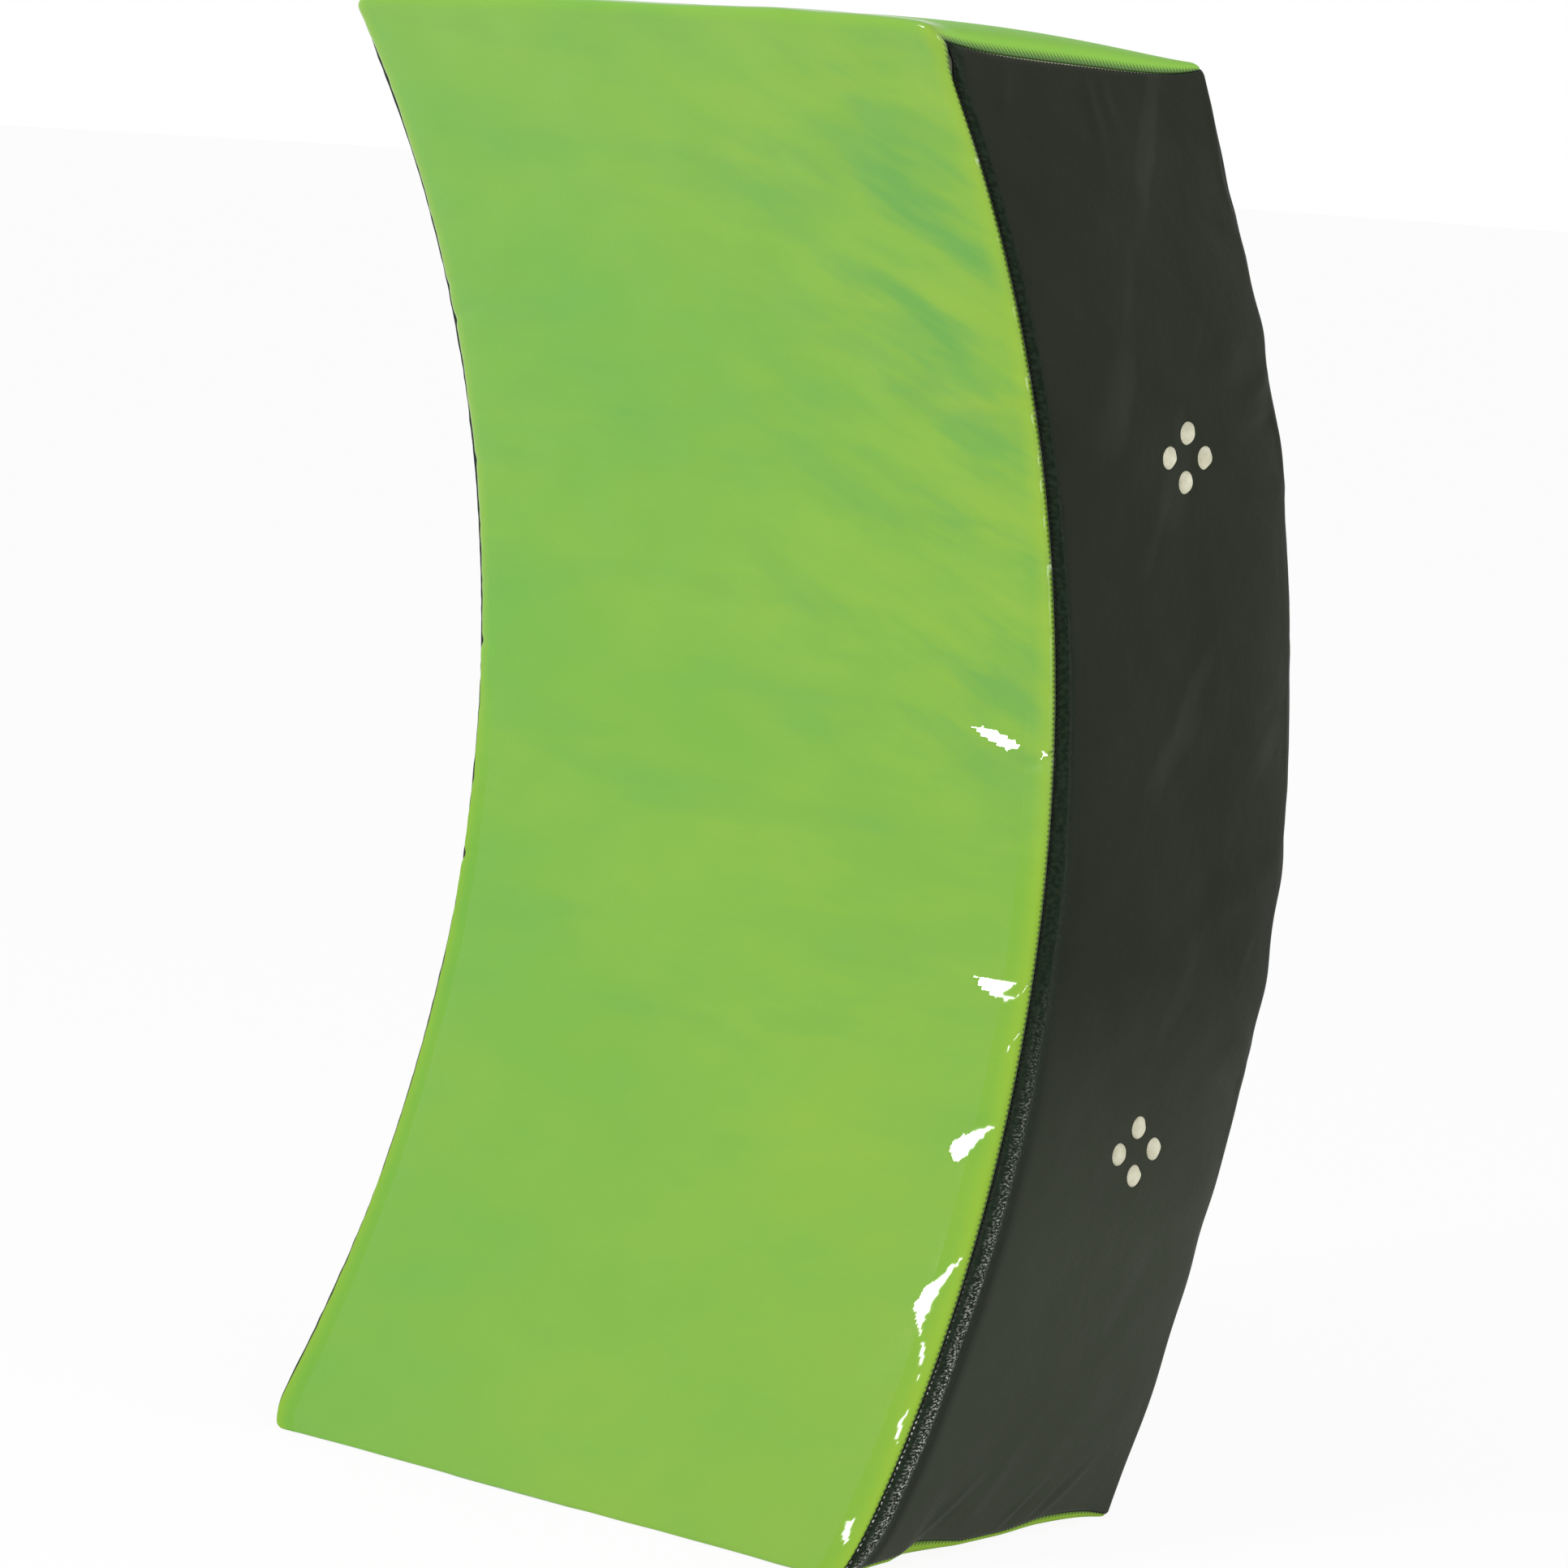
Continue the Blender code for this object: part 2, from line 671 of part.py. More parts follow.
def chain_middle(frame):
    """The level of the tapes' and teeth's middle plane."""
    return -tape_sink(frame) - TAPE_THICKNESS / 2


def make_teeth(name, side, frame, materials):
    """One row of zip teeth on its spine. The other row is this one turned over and moved half a pitch."""
    half = zip_row_length() / 2
    shift = side * TOOTH_PITCH / 4
    first = math.ceil((-half + TOOTH_WIDTH - shift) / TOOTH_PITCH)
    last = math.floor((half - TOOTH_WIDTH - shift) / TOOTH_PITCH)
    outline = [(half, side * SPINE_OUTER), (-half, side * SPINE_OUTER), (-half, side * SPINE_INNER)]
    for k in range(first, last + 1):
        middle = k * TOOTH_PITCH + shift
        for x, up in ((-1, 1), (-1, 0), (1, 0), (1, 1)):
            height = SPINE_INNER if up else -TOOTH_REACH
            outline.append((middle + x * TOOTH_WIDTH / 2, side * height))
    outline.append((half, side * SPINE_INNER))
    piece = add_part(name, outline_mesh(name, [outline], TOOTH_THICKNESS),
                     materials["zip_plastic"], frame)
    piece.location = (0, chain_middle(frame), 0)
    return piece


def make_tape(name, side, frame, materials):
    half, level = tape_half_length(), chain_middle(frame)
    edges = sorted((side * (SPINE_OUTER + TOUCH), side * TAPE_OUTER))
    low = (-half, level - TAPE_THICKNESS / 2, edges[0])
    high = (half, level + TAPE_THICKNESS / 2, edges[1])
    return add_part(name, box_mesh(name, low, high), materials["zip_tape"], frame)


def make_stop(name, side, frame, materials):
    """An end stop, crimped over both tapes past the last teeth."""
    middle = side * (zip_row_length() / 2 + TOUCH + STOP_LENGTH / 2)
    low = (-STOP_LENGTH / 2, -STOP_THICKNESS / 2, -STOP_HALF_HEIGHT)
    high = (STOP_LENGTH / 2, STOP_THICKNESS / 2, STOP_HALF_HEIGHT)
    piece = add_part(name, box_mesh(name, low, high, STOP_THICKNESS / 5),
                     materials["zip_metal"], frame)
    piece.location = (middle, chain_middle(frame), 0)
    return piece


def slider_top(frame):
    """The level of the slider plate's outer face, over the teeth."""
    return chain_middle(frame) + TOOTH_THICKNESS / 2 + TOUCH + SLIDER_PLATE


def make_slider(name, axis, materials):
    """The slider: a nosed plate over the teeth, a rail down each side, and a bridge for its pull."""
    half, nose = SLIDER_LENGTH / 2, SLIDER_HALF_HEIGHT * SLIDER_NOSE_SHARE
    outline = (
        (-half, nose), (-half, -nose), (-half * SLIDER_NOSE_SHARE, -SLIDER_HALF_HEIGHT),
        (half, -SLIDER_HALF_HEIGHT), (half, SLIDER_HALF_HEIGHT),
        (-half * SLIDER_NOSE_SHARE, SLIDER_HALF_HEIGHT),
    )
    slider = add_part(name, outline_mesh(name, [outline], SLIDER_PLATE), materials["zip_metal"], axis)
    slider.location = (0, -PULL_ROOM - SLIDER_PLATE / 2, 0)
    top = SLIDER_PLATE / 2
    drop = (TOOTH_THICKNESS - TAPE_THICKNESS) / 2
    for side, hand in ((1, "upper"), (-1, "lower")):
        outer = SLIDER_HALF_HEIGHT - RAIL_INSET
        edges = sorted((side * (outer - SLIDER_RAIL), side * outer))
        low = (-half * SLIDER_NOSE_SHARE + RAIL_INSET, -top - drop, edges[0])
        high = (half - RAIL_INSET, 0, edges[1])
        rail = add_part(f"rail_{hand}", box_mesh("rail", low, high), materials["zip_metal"],
                        slider, CUTTERS)
        boolean(slider, rail, "UNION")
    reach, bar = BRIDGE_HALF_LENGTH, BRIDGE_BAR
    under = top + 2 * PULL_ROOM
    shoulder = under + bar / 3
    staple = (
        (-reach, 0), (bar - reach, 0), (bar - reach, under), (reach - bar, under),
        (reach - bar, 0), (reach, 0), (reach, shoulder), (reach - bar, under + bar),
        (bar - reach, under + bar), (-reach, shoulder),
    )
    bridge = add_part("bridge", outline_mesh("bridge", [staple], 2 * BRIDGE_HALF_WIDTH),
                      materials["zip_metal"], slider, CUTTERS)
    bridge.rotation_euler = (-math.pi / 2, 0, 0)
    bpy.context.view_layer.update()
    boolean(slider, bridge, "UNION")
    return slider


def make_pull(name, axis, materials):
    """The pull: a long tag whose bar turns under the slider's bridge."""
    wide, tip, length = PULL_HALF_WIDTH, PULL_TIP_HALF_WIDTH, PULL_LENGTH
    corner = PULL_BAR
    tag = (
        (PULL_BAR, wide - corner), (PULL_BAR - corner, wide), (-PULL_WINDOW, wide),
        (-length + tip, tip), (-length, tip / 2), (-length, -tip / 2), (-length + tip, -tip),
        (-PULL_WINDOW, -wide), (PULL_BAR - corner, -wide), (PULL_BAR, corner - wide),
    )
    inner = PULL_WINDOW_HALF_WIDTH
    window = ((-PULL_BAR, inner), (-PULL_BAR, -inner), (-PULL_WINDOW, -inner), (-PULL_WINDOW, inner))
    return add_part(name, outline_mesh(name, [tag, window], PULL_THICKNESS),
                    materials["zip_metal"], axis)


def zip_height():
    return HEIGHT - ZIP_BELOW_TOP


def make_slot_cutter(frame, materials):
    """The slot in the back panel that shows the zip, with cut corners."""
    half = zip_row_length() / 2 + STOP_LENGTH + TOUCH
    tall, corner = SLOT_HALF_HEIGHT, SLOT_CORNER
    outline = (
        (half, tall - corner), (half - corner, tall), (corner - half, tall), (-half, tall - corner),
        (-half, corner - tall), (corner - half, -tall), (half - corner, -tall), (half, corner - tall),
    )
    mesh = outline_mesh("zip_slot", [outline], 2 * (COVER + OVERRUN))
    return add_part("zip_slot", mesh, materials["seam"], frame, CUTTERS)


def make_trough_cutter(frame, materials):
    """The hollow that the zip presses into the foam."""
    half, tall = tape_half_length() + TOUCH, TAPE_OUTER + TOUCH
    floor = chain_middle(frame) - STOP_THICKNESS / 2 - TOUCH
    mesh = box_mesh("zip_trough", (-half, floor, -tall), (half, OVERRUN, tall))
    return add_part("zip_trough", mesh, materials["foam"], frame, CUTTERS)


def make_zip(frame, materials):
    for side, hand in ((1, "upper"), (-1, "lower")):
        make_teeth(f"zip_teeth_{hand}", side, frame, materials)
        make_tape(f"zip_tape_{hand}", side, frame, materials)
    for side, hand in ((1, "right"), (-1, "left")):
        make_stop(f"zip_stop_{hand}", side, frame, materials)
    end = (zip_row_length() - SLIDER_LENGTH) / 2
    closed = Matrix.Translation((end, slider_top(frame) + PULL_ROOM, 0))
    axis = add_empty("zip_pull_axis", closed, frame)
    make_slider("zip_slider", axis, materials)
    make_pull("zip_pull", axis, materials)


def build():
    clear_scene()
    make_collections()
    materials = make_materials()
    zip_frame = add_empty("zip_seat", back_frame(zip_height()))
    bpy.context.view_layer.update()
    trough = make_trough_cutter(zip_frame, materials)
    slot = make_slot_cutter(zip_frame, materials)
    punch = make_vent_punch(materials)
    domes = make_vent_domes(materials)
    make_foam_core(materials, domes, trough)
    make_face_wrap(materials)
    make_back_panel(materials, [slot])
    for side, hand in ((1, "right"), (-1, "left")):
        make_side_panel(side, f"side_panel_{hand}", materials, punch)
        make_seam_roll(side, f"front_seam_roll_{hand}", materials)
    for level, name in ((1, "upper"), (-1, "lower")):
        make_strap(level, name, materials)
    make_zip(zip_frame, materials)


build()
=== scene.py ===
# %% [markdown]
# # A tackle wedge in coated fabric
# A tackle wedge is a tall foam pad. One player holds it by two arm straps behind it, and another
# drives a shoulder into its hollow face. Its cover is cut from sheets of coated fabric and sewn
# inside out, so every seam pulls the fabric in a little and the foam swells between the seams.
#
# The measured model comes first. It gives the frame that every piece below is placed in, in metres.

# %% Load the frame
import math
import bmesh
import bpy
import numpy as np
from mathutils import Matrix, Vector
from mathutils.kdtree import KDTree


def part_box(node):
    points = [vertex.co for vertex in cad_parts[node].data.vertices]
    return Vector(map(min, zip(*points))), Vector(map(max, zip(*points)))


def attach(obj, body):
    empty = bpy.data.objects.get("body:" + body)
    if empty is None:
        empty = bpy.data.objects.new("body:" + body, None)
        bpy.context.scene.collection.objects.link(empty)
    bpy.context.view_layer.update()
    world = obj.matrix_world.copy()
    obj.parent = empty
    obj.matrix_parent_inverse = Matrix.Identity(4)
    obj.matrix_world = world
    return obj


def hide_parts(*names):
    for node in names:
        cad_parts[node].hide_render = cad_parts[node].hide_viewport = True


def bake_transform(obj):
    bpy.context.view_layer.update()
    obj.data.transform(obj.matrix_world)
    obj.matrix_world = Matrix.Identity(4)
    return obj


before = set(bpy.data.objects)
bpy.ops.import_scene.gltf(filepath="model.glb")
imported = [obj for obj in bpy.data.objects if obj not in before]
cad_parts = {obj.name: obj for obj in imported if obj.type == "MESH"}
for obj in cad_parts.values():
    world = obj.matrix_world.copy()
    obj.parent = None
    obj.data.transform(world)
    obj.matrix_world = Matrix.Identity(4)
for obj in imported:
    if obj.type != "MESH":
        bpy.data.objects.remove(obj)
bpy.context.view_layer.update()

# %% [markdown]
# ## The camera
# The photograph looks at the wedge from its front right, from a little above and with a small tilt.
# The angles, distance and lens come from fitting the seams of the model to those in the picture.
# A matrix of three directions and a place is plainer here than a chain of rotations.

# %% Camera
AIM = Vector((0, 0, 0.35))
AZIMUTH, RISE, TILT = np.radians([40.0175, 6.7605, 3.7178])
DISTANCE, SIDEWAYS, UPWARDS = 2.66017, 0.01566, -0.01224
SENSOR_MM, LENS_MM = 36, 126.17

towards = Vector((math.sin(AZIMUTH) * math.cos(RISE), -math.cos(AZIMUTH) * math.cos(RISE), math.sin(RISE)))
level = (-towards).cross(Vector((0, 0, 1))).normalized()
above = level.cross(-towards)
camera_right = level * math.cos(TILT) + above * math.sin(TILT)
camera_up = above * math.cos(TILT) - level * math.sin(TILT)
eye = AIM + towards * DISTANCE + camera_right * SIDEWAYS + camera_up * UPWARDS

lens = bpy.data.cameras.new("photo_camera")
lens.sensor_width, lens.lens = SENSOR_MM, LENS_MM
camera = bpy.data.objects.new("photo_camera", lens)
camera.matrix_world = Matrix((camera_right, camera_up, towards)).transposed().to_4x4()
camera.matrix_world.translation = eye
bpy.context.scene.collection.objects.link(camera)
bpy.context.scene.camera = camera
print("camera at", [round(value, 3) for value in eye])

# %% [markdown]
# ## The shape of the foam block
# Every panel of the cover lies on one block of foam. The block could be sculpted, but then each
# panel would have to be fitted to it. Instead, one function says where a point of a straight, sharp
# block lies once the block is rounded, crowned and bent into its crescent. x is across, q is the
# depth behind the strike face and z the height. All panels are grids on that block, so they meet
# along their seams by themselves.

# %% Sizes of the block
MM = 0.001
HEIGHT, WIDTH, DEPTH = 700 * MM, 369 * MM, 191 * MM
# How far the front is hollow and the back is rounded over the whole height.
FRONT_SAG, BACK_SAG = 121 * MM, 111 * MM
# The radius of the block's edges, and the smaller one close to the base.
EDGE, BASE_EDGE, BASE_POWER = 6 * MM, 3 * MM, 30
# How far the foam swells each face, and how far its seams draw the top and the base in.
FRONT_CROWN, BACK_CROWN, SIDE_CROWN, TOP_CROWN = 6 * MM, 5 * MM, 5 * MM, 10.5 * MM
TOP_FALL, DRAW_IN, BASE_LIFT = 4 * MM, 6 * MM, 3.5 * MM
# The shares of the top's swelling at its front fold and half way back.
FOLD_SHARE, BULGE_SHARE = 0.65, 0.48
# The cover's thickness, how deep the foam lies under its outside, and half the gap at a seam.
COVER, CORE_SINK, SEAM_GAP = 1.0 * MM, 2.3 * MM, 0.12 * MM
# The ridge along the front seams, and how it narrows over a share of the height.
RIDGE, RIDGE_WIDTH, RIDGE_START = 2.6 * MM, 13 * MM, 1 * MM
TAPER, TAPER_FROM, TAPER_OVER = 0.55, 0.3, 0.45
# What pulls this one cover out of true: a twist, a hollow back and its corners.
TWIST, BACK_HOLLOW = 4.7 * MM, 7 * MM
CORNER_TURN, TURN_REACH, TURN_DROP = 7 * MM, 8 * MM, 15 * MM
CORNER_PULL, PULL_RISE, LEFT_PULL, LEFT_RISE = 4.5 * MM, 9 * MM, 5.5 * MM, 14 * MM
# Each kink in the back edge: height, half length and how far it stands out, in millimetres.
EDGE_KINKS = (
    (644, 22, -3.6), (573, 14, 3.4), (516, 24, 4.5), (395, 38, -1.9), (306, 14, 2.2), (255, 18, 3.1),
    (134, 16, -2.2), (52, 22, 2.4),
)
# High powers of a share stay near 1 and drop only close to a seam, or to the top and the base.
SEAM_POWER, END_POWER = 20, 10
print("block in mm:", [round(size / MM) for size in (HEIGHT, WIDTH, DEPTH)])


# %% The bent block
def bow(sag, from_mid):
    """How far an arc over the full height lies behind its middle."""
    radius = ((HEIGHT / 2) ** 2 + sag ** 2) / (2 * sag)
    return np.sqrt(radius ** 2 - from_mid ** 2) - radius


def crown(share, power):
    """1 at a share of 0, falling to 0 at 1 and -1. It is flatter in between for a higher power."""
    return np.maximum(0, 1 - np.abs(share) ** power)


def ease(share):
    """0 below 0, 1 above 1, and a soft S between."""
    share = np.clip(share, 0, 1)
    return share * share * (3 - 2 * share)


def base_gather(deep):
    """How strongly the seam along the base is drawn up, at a share of the depth."""
    front = 0.9 * ease((deep - 0.19) / 0.05) * np.clip((0.43 - deep) / 0.18, 0, 1)
    return 0.08 + front + 0.5 * ease((deep - 0.58) / 0.16) * ease((1.04 - deep) / 0.15)


def cover_point(x, q, z, sink=0.0, ridge=0.0):
    """Points of the bent block at a depth of sink. Ridge is 1 where the side's ridge shows."""
    x, q, z, sink, ridge = np.broadcast_arrays(x, q, z, sink, ridge)
    near_side = np.clip((np.abs(x) - WIDTH / 2) / TURN_REACH + 1, 0, 1) ** 2
    q = q + CORNER_TURN * near_side * (1 - q / DEPTH) * np.exp(-((HEIGHT - z) / TURN_DROP) ** 2)
    high, deep = z / HEIGHT, q / DEPTH
    side = np.minimum(1, np.abs(x) / (WIDTH / 2))
    hold = np.sqrt(1 - side ** SEAM_POWER)

    # Round the edges.
    flat = np.stack([x, q, z], -1).astype(float)
    inset = (EDGE - (EDGE - BASE_EDGE) * np.clip(1 - high, 0, 1) ** BASE_POWER)[..., None]
    core = np.clip(flat, np.array([-WIDTH / 2, 0, 0]) + inset, np.array([WIDTH / 2, DEPTH, HEIGHT]) - inset)
    away = flat - core
    reach = np.maximum(np.linalg.norm(away, axis=-1, keepdims=True), 1e-9)
    place = core + away / reach * (inset - sink[..., None])

    # Swell the faces, raise the ridge and draw in the corners.
    through, up = crown(2 * deep - 1, 4), crown(2 * high - 1, 6)
    swell = hold * (1 - 0.3 * side ** 2)
    near_top, near_floor = np.clip(high, 0, 1) ** END_POWER, np.clip(1 - high, 0, 1) ** END_POWER
    along = (q - RIDGE_START) / (RIDGE_WIDTH * (1 - TAPER * ease((high - TAPER_FROM) / TAPER_OVER)))
    fold = np.where((along > 0) & (along < 1), np.sin(np.pi * along) ** 2, 0) * crown(2 * high - 1, 24)
    place[..., 0] += x / (WIDTH / 2) * (SIDE_CROWN * through * up + RIDGE * ridge * fold)
    place[..., 1] += (BACK_CROWN * deep - FRONT_CROWN * (1 - deep)) * swell * up
    lift = FOLD_SHARE * (1 - deep) + BULGE_SHARE * 4 * deep * (1 - deep)
    place[..., 2] += near_top * (TOP_CROWN * swell * lift - TOP_FALL * deep)
    place[..., 2] += (near_floor * base_gather(deep) - near_top) * DRAW_IN * through * (1 - hold)
    place[..., 2] += near_floor * BASE_LIFT * through * side ** 16
    pull = CORNER_PULL * np.exp(-z / PULL_RISE) + LEFT_PULL * (x < 0) * np.clip(1 - z / LEFT_RISE, 0, 1) ** 2
    place[..., 0] -= np.sign(x) * pull * (1 - deep) * side ** 4

    # Bend the block into its crescent, then hollow, twist and kink it.
    share, from_mid = place[..., 1] / DEPTH, place[..., 2] - HEIGHT / 2
    front, back = bow(FRONT_SAG, from_mid), DEPTH + bow(BACK_SAG, from_mid)
    place[..., 1] = front * (1 - share) + back * share
    tall = 2 * high - 1
    place[..., 1] -= BACK_HOLLOW * 4 * (1 - tall ** 2) * tall ** 2 * deep * side ** 4
    place[..., 1] -= TWIST * x / (WIDTH / 2) * tall * (1 - deep * (1 - side ** 4))
    for kink_height, half_long, out in EDGE_KINKS:
        kink = np.exp(-((z / MM - kink_height) / half_long) ** 2)
        place[..., 1] += out * MM * deep * side ** SEAM_POWER * kink
    return place


print("strike face at mid height:", cover_point(0, 0, 0.35).round(4))

# %% [markdown]
# ## Helpers for sheets
# A sheet of fabric is a grid of points on the block and a second grid one thickness below it. The
# two are joined around their rim, so the sheet has a real cut edge at the vents and the zip slot.
# Solidify would do this too, but here the inner grid can follow the block exactly.
#
# Each point also carries its place on the flat cloth, in metres. The weave and the stitches read
# that place, so threads run along the cloth and never stretch over a bend.

# %% Grids, sheets and pieces
# The sign of x on each side, as the photograph shows them.
HANDS = ((1, "right"), (-1, "left"))


def spaced(low, high, edge_step, step, margin):
    """Places from low to high, an edge_step apart within a margin of both ends."""
    near = np.arange(0, margin, edge_step)
    middle = np.linspace(margin, high - low - margin, int((high - low - 2 * margin) / step) + 2)
    return low + np.concatenate([near, middle, (high - low - near)[::-1]])


def soft_noise(a, b, size, seed, waves=24):
    """An even relief about 1 high, the sum of plane waves about one size long."""
    luck = np.random.default_rng(seed)
    total = 0
    for turn, phase, stretch in luck.uniform(0, 1, (waves, 3)):
        turn, pitch = turn * 2 * np.pi, size * (0.7 + 0.9 * stretch)
        total = total + np.sin(2 * np.pi * ((a * np.cos(turn) + b * np.sin(turn)) / pitch + phase))
    return total / math.sqrt(waves / 2)


def new_piece(name, points, faces, material, smooth=40):
    """A smooth piece of points and faces, with edges sharper than an angle left sharp."""
    mesh = bpy.data.meshes.new(name)
    mesh.from_pydata(np.asarray(points).reshape(-1, 3).tolist(), [], [list(map(int, f)) for f in faces])
    bm = bmesh.new()
    bm.from_mesh(mesh)
    bmesh.ops.recalc_face_normals(bm, faces=bm.faces[:])
    bm.to_mesh(mesh)
    bm.free()
    mesh.materials.append(material)
    mesh.shade_smooth()
    mesh.set_sharp_from_angle(angle=math.radians(smooth))
    piece = bpy.data.objects.new(name, mesh)
    bpy.context.scene.collection.objects.link(piece)
    return piece


def grid_faces(rows, columns, first=0):
    """The quads between the points of a grid, and the number of each point."""
    index = np.arange(rows * columns).reshape(rows, columns) + first
    quads = np.stack([index[:-1, :-1], index[:-1, 1:], index[1:, 1:], index[1:, :-1]], -1)
    return quads.reshape(-1, 4), index


def mark(piece, name, vectors):
    """Writes one vector for each point of a piece, for its material to read."""
    place = piece.data.attributes.new(name, "FLOAT_VECTOR", "POINT")
    place.data.foreach_set("vector", np.asarray(vectors, float).ravel())


def new_sheet(name, outer, inner, cloth, material):
    """A closed sheet from two grids of points and the flat place of each."""
    rows, columns = outer.shape[:2]
    face, index = grid_faces(rows, columns)
    under = grid_faces(rows, columns, rows * columns)[0]
    rim = np.concatenate([index[0], index[1:, -1], index[-1, -2::-1], index[-2:0:-1, 0]])
    after = np.roll(rim, -1)
    sides = np.stack([rim, after, after + rows * columns, rim + rows * columns], -1)
    points = np.concatenate([outer.reshape(-1, 3), inner.reshape(-1, 3)])
    piece = new_piece(name, points, np.concatenate([face, under[:, ::-1], sides]), material)
    mark(piece, "cloth", np.concatenate([cloth.reshape(-1, 3)] * 2))
    print(f"{name}: {len(points)} points")
    return piece


def cut(piece, tool):
    """Takes the tool's shape out of the piece. Each point then gets the cloth place of its neighbour."""
    known = KDTree(len(piece.data.vertices))
    for vert in piece.data.vertices:
        known.insert(vert.co, vert.index)
    known.balance()
    cloth = np.zeros(3 * len(piece.data.vertices))
    piece.data.attributes["cloth"].data.foreach_get("vector", cloth)
    change = piece.modifiers.new("cut", "BOOLEAN")
    change.operation, change.object, change.solver = "DIFFERENCE", tool, "EXACT"
    bpy.context.view_layer.update()
    graph = bpy.context.evaluated_depsgraph_get()
    piece.data = bpy.data.meshes.new_from_object(piece.evaluated_get(graph))
    piece.modifiers.clear()
    bpy.data.objects.remove(tool, do_unlink=True)
    if "cloth" in piece.data.attributes:
        piece.data.attributes.remove(piece.data.attributes["cloth"])
    nearest = [known.find(vert.co)[1] for vert in piece.data.vertices]
    mark(piece, "cloth", cloth.reshape(-1, 3)[nearest])


# %% [markdown]
# A stitch is a short length of thread that rises out of the cloth and dives back into it. The seams
# take about 1,800 of them, so they are all made at once, as small tapered tubes in one mesh.

# %% Stitches
STITCH, STITCH_LONG, THREAD_RADIUS = 2.5 * MM, 1.9 * MM, 0.3 * MM
TUBE_RINGS, TUBE_SIDES = 5, 6


def new_stitches(name, starts, ends, outs, material):
    """One thin arched tube for each start, end and outward direction."""
    starts, ends, outs = (np.asarray(rows, float).reshape(-1, 1, 1, 3) for rows in (starts, ends, outs))
    side = np.cross(ends - starts, outs)
    side /= np.linalg.norm(side, axis=-1, keepdims=True)
    along = np.array([0, 0.2, 0.5, 0.8, 1]).reshape(1, -1, 1, 1)
    wide = np.array([0.4, 0.9, 1, 0.9, 0.4]).reshape(1, -1, 1, 1) * THREAD_RADIUS
    rise = np.array([-0.6, 0.2, 0.5, 0.2, -0.6]).reshape(1, -1, 1, 1) * THREAD_RADIUS
    turn = (np.arange(TUBE_SIDES) * 2 * np.pi / TUBE_SIDES).reshape(1, 1, -1, 1)
    around = np.cos(turn) * side + np.sin(turn) * outs
    points = starts + (ends - starts) * along + outs * rise + wide * around
    ring, corner = np.meshgrid(np.arange(TUBE_RINGS - 1) * TUBE_SIDES, np.arange(TUBE_SIDES), indexing="ij")
    here, after = ring + corner, ring + (corner + 1) % TUBE_SIDES
    tube = np.stack([here, after, after + TUBE_SIDES, here + TUBE_SIDES], -1)
    caps = np.stack([here[0], here[-1] + TUBE_SIDES])
    first = np.arange(len(points)).reshape(-1, 1, 1) * TUBE_RINGS * TUBE_SIDES
    faces = (first + tube.reshape(1, -1, 4)).reshape(-1, 4).tolist()
    faces += (first + caps[None]).reshape(-1, TUBE_SIDES).tolist()
    return new_piece(name, points, faces, material, 60)


def stitch_line(path, outs):
    """The starts, ends and outward directions of the stitches along a line of points."""
    path, outs = np.asarray(path, float), np.asarray(outs, float)
    run = np.concatenate([[0], np.cumsum(np.linalg.norm(np.diff(path, axis=0), axis=1))])
    firsts = np.arange((STITCH - STITCH_LONG) / 2, run[-1] - STITCH_LONG, STITCH)
    found = [
        [np.interp(places, run, rows[:, k]) for k in range(3)]
        for places, rows in ((firsts, path), (firsts + STITCH_LONG, path), (firsts + STITCH_LONG / 2, outs))
    ]
    starts, ends, out = (np.array(rows).T for rows in found)
    return starts, ends, out / np.linalg.norm(out, axis=1, keepdims=True)


# %% [markdown]
# ## A short way to write materials
# A material is a net of nodes. Written out node by node it is long and hard to read, so a small
# class stands for one wire between nodes: adding or multiplying two wires adds the Math node that
# does it. Any other node comes from one method that takes its type, its settings and its inputs.

# %% Wires and finishes
class Wire:
    """A socket of a material, on which Python's arithmetic adds Math nodes."""

    def __init__(self, finish, socket):
        self.finish, self.socket = finish, socket

    def math(self, operation, *values):
        return self.finish.node("ShaderNodeMath", {"operation": operation}, dict(enumerate(values)))

    def __add__(self, other):
        return self.math("ADD", self, other)

    def __mul__(self, other):
        return self.math("MULTIPLY", self, other)

    def __sub__(self, other):
        return self.math("SUBTRACT", self, other)

    def __rsub__(self, other):
        return self.math("SUBTRACT", other, self)

    def __truediv__(self, other):
        return self.math("DIVIDE", self, other)

    __radd__, __rmul__ = __add__, __mul__

    def wave(self, pitch):
        """A sine between -1 and 1 that repeats every pitch."""
        return self.math("SINE", self * (2 * math.pi / pitch))

    def step(self, low, high):
        """0 below low, 1 above high, and straight between them."""
        return self.finish.node(
            "ShaderNodeMapRange", {"clamp": True}, {"Value": self, "From Min": low, "From Max": high},
        )


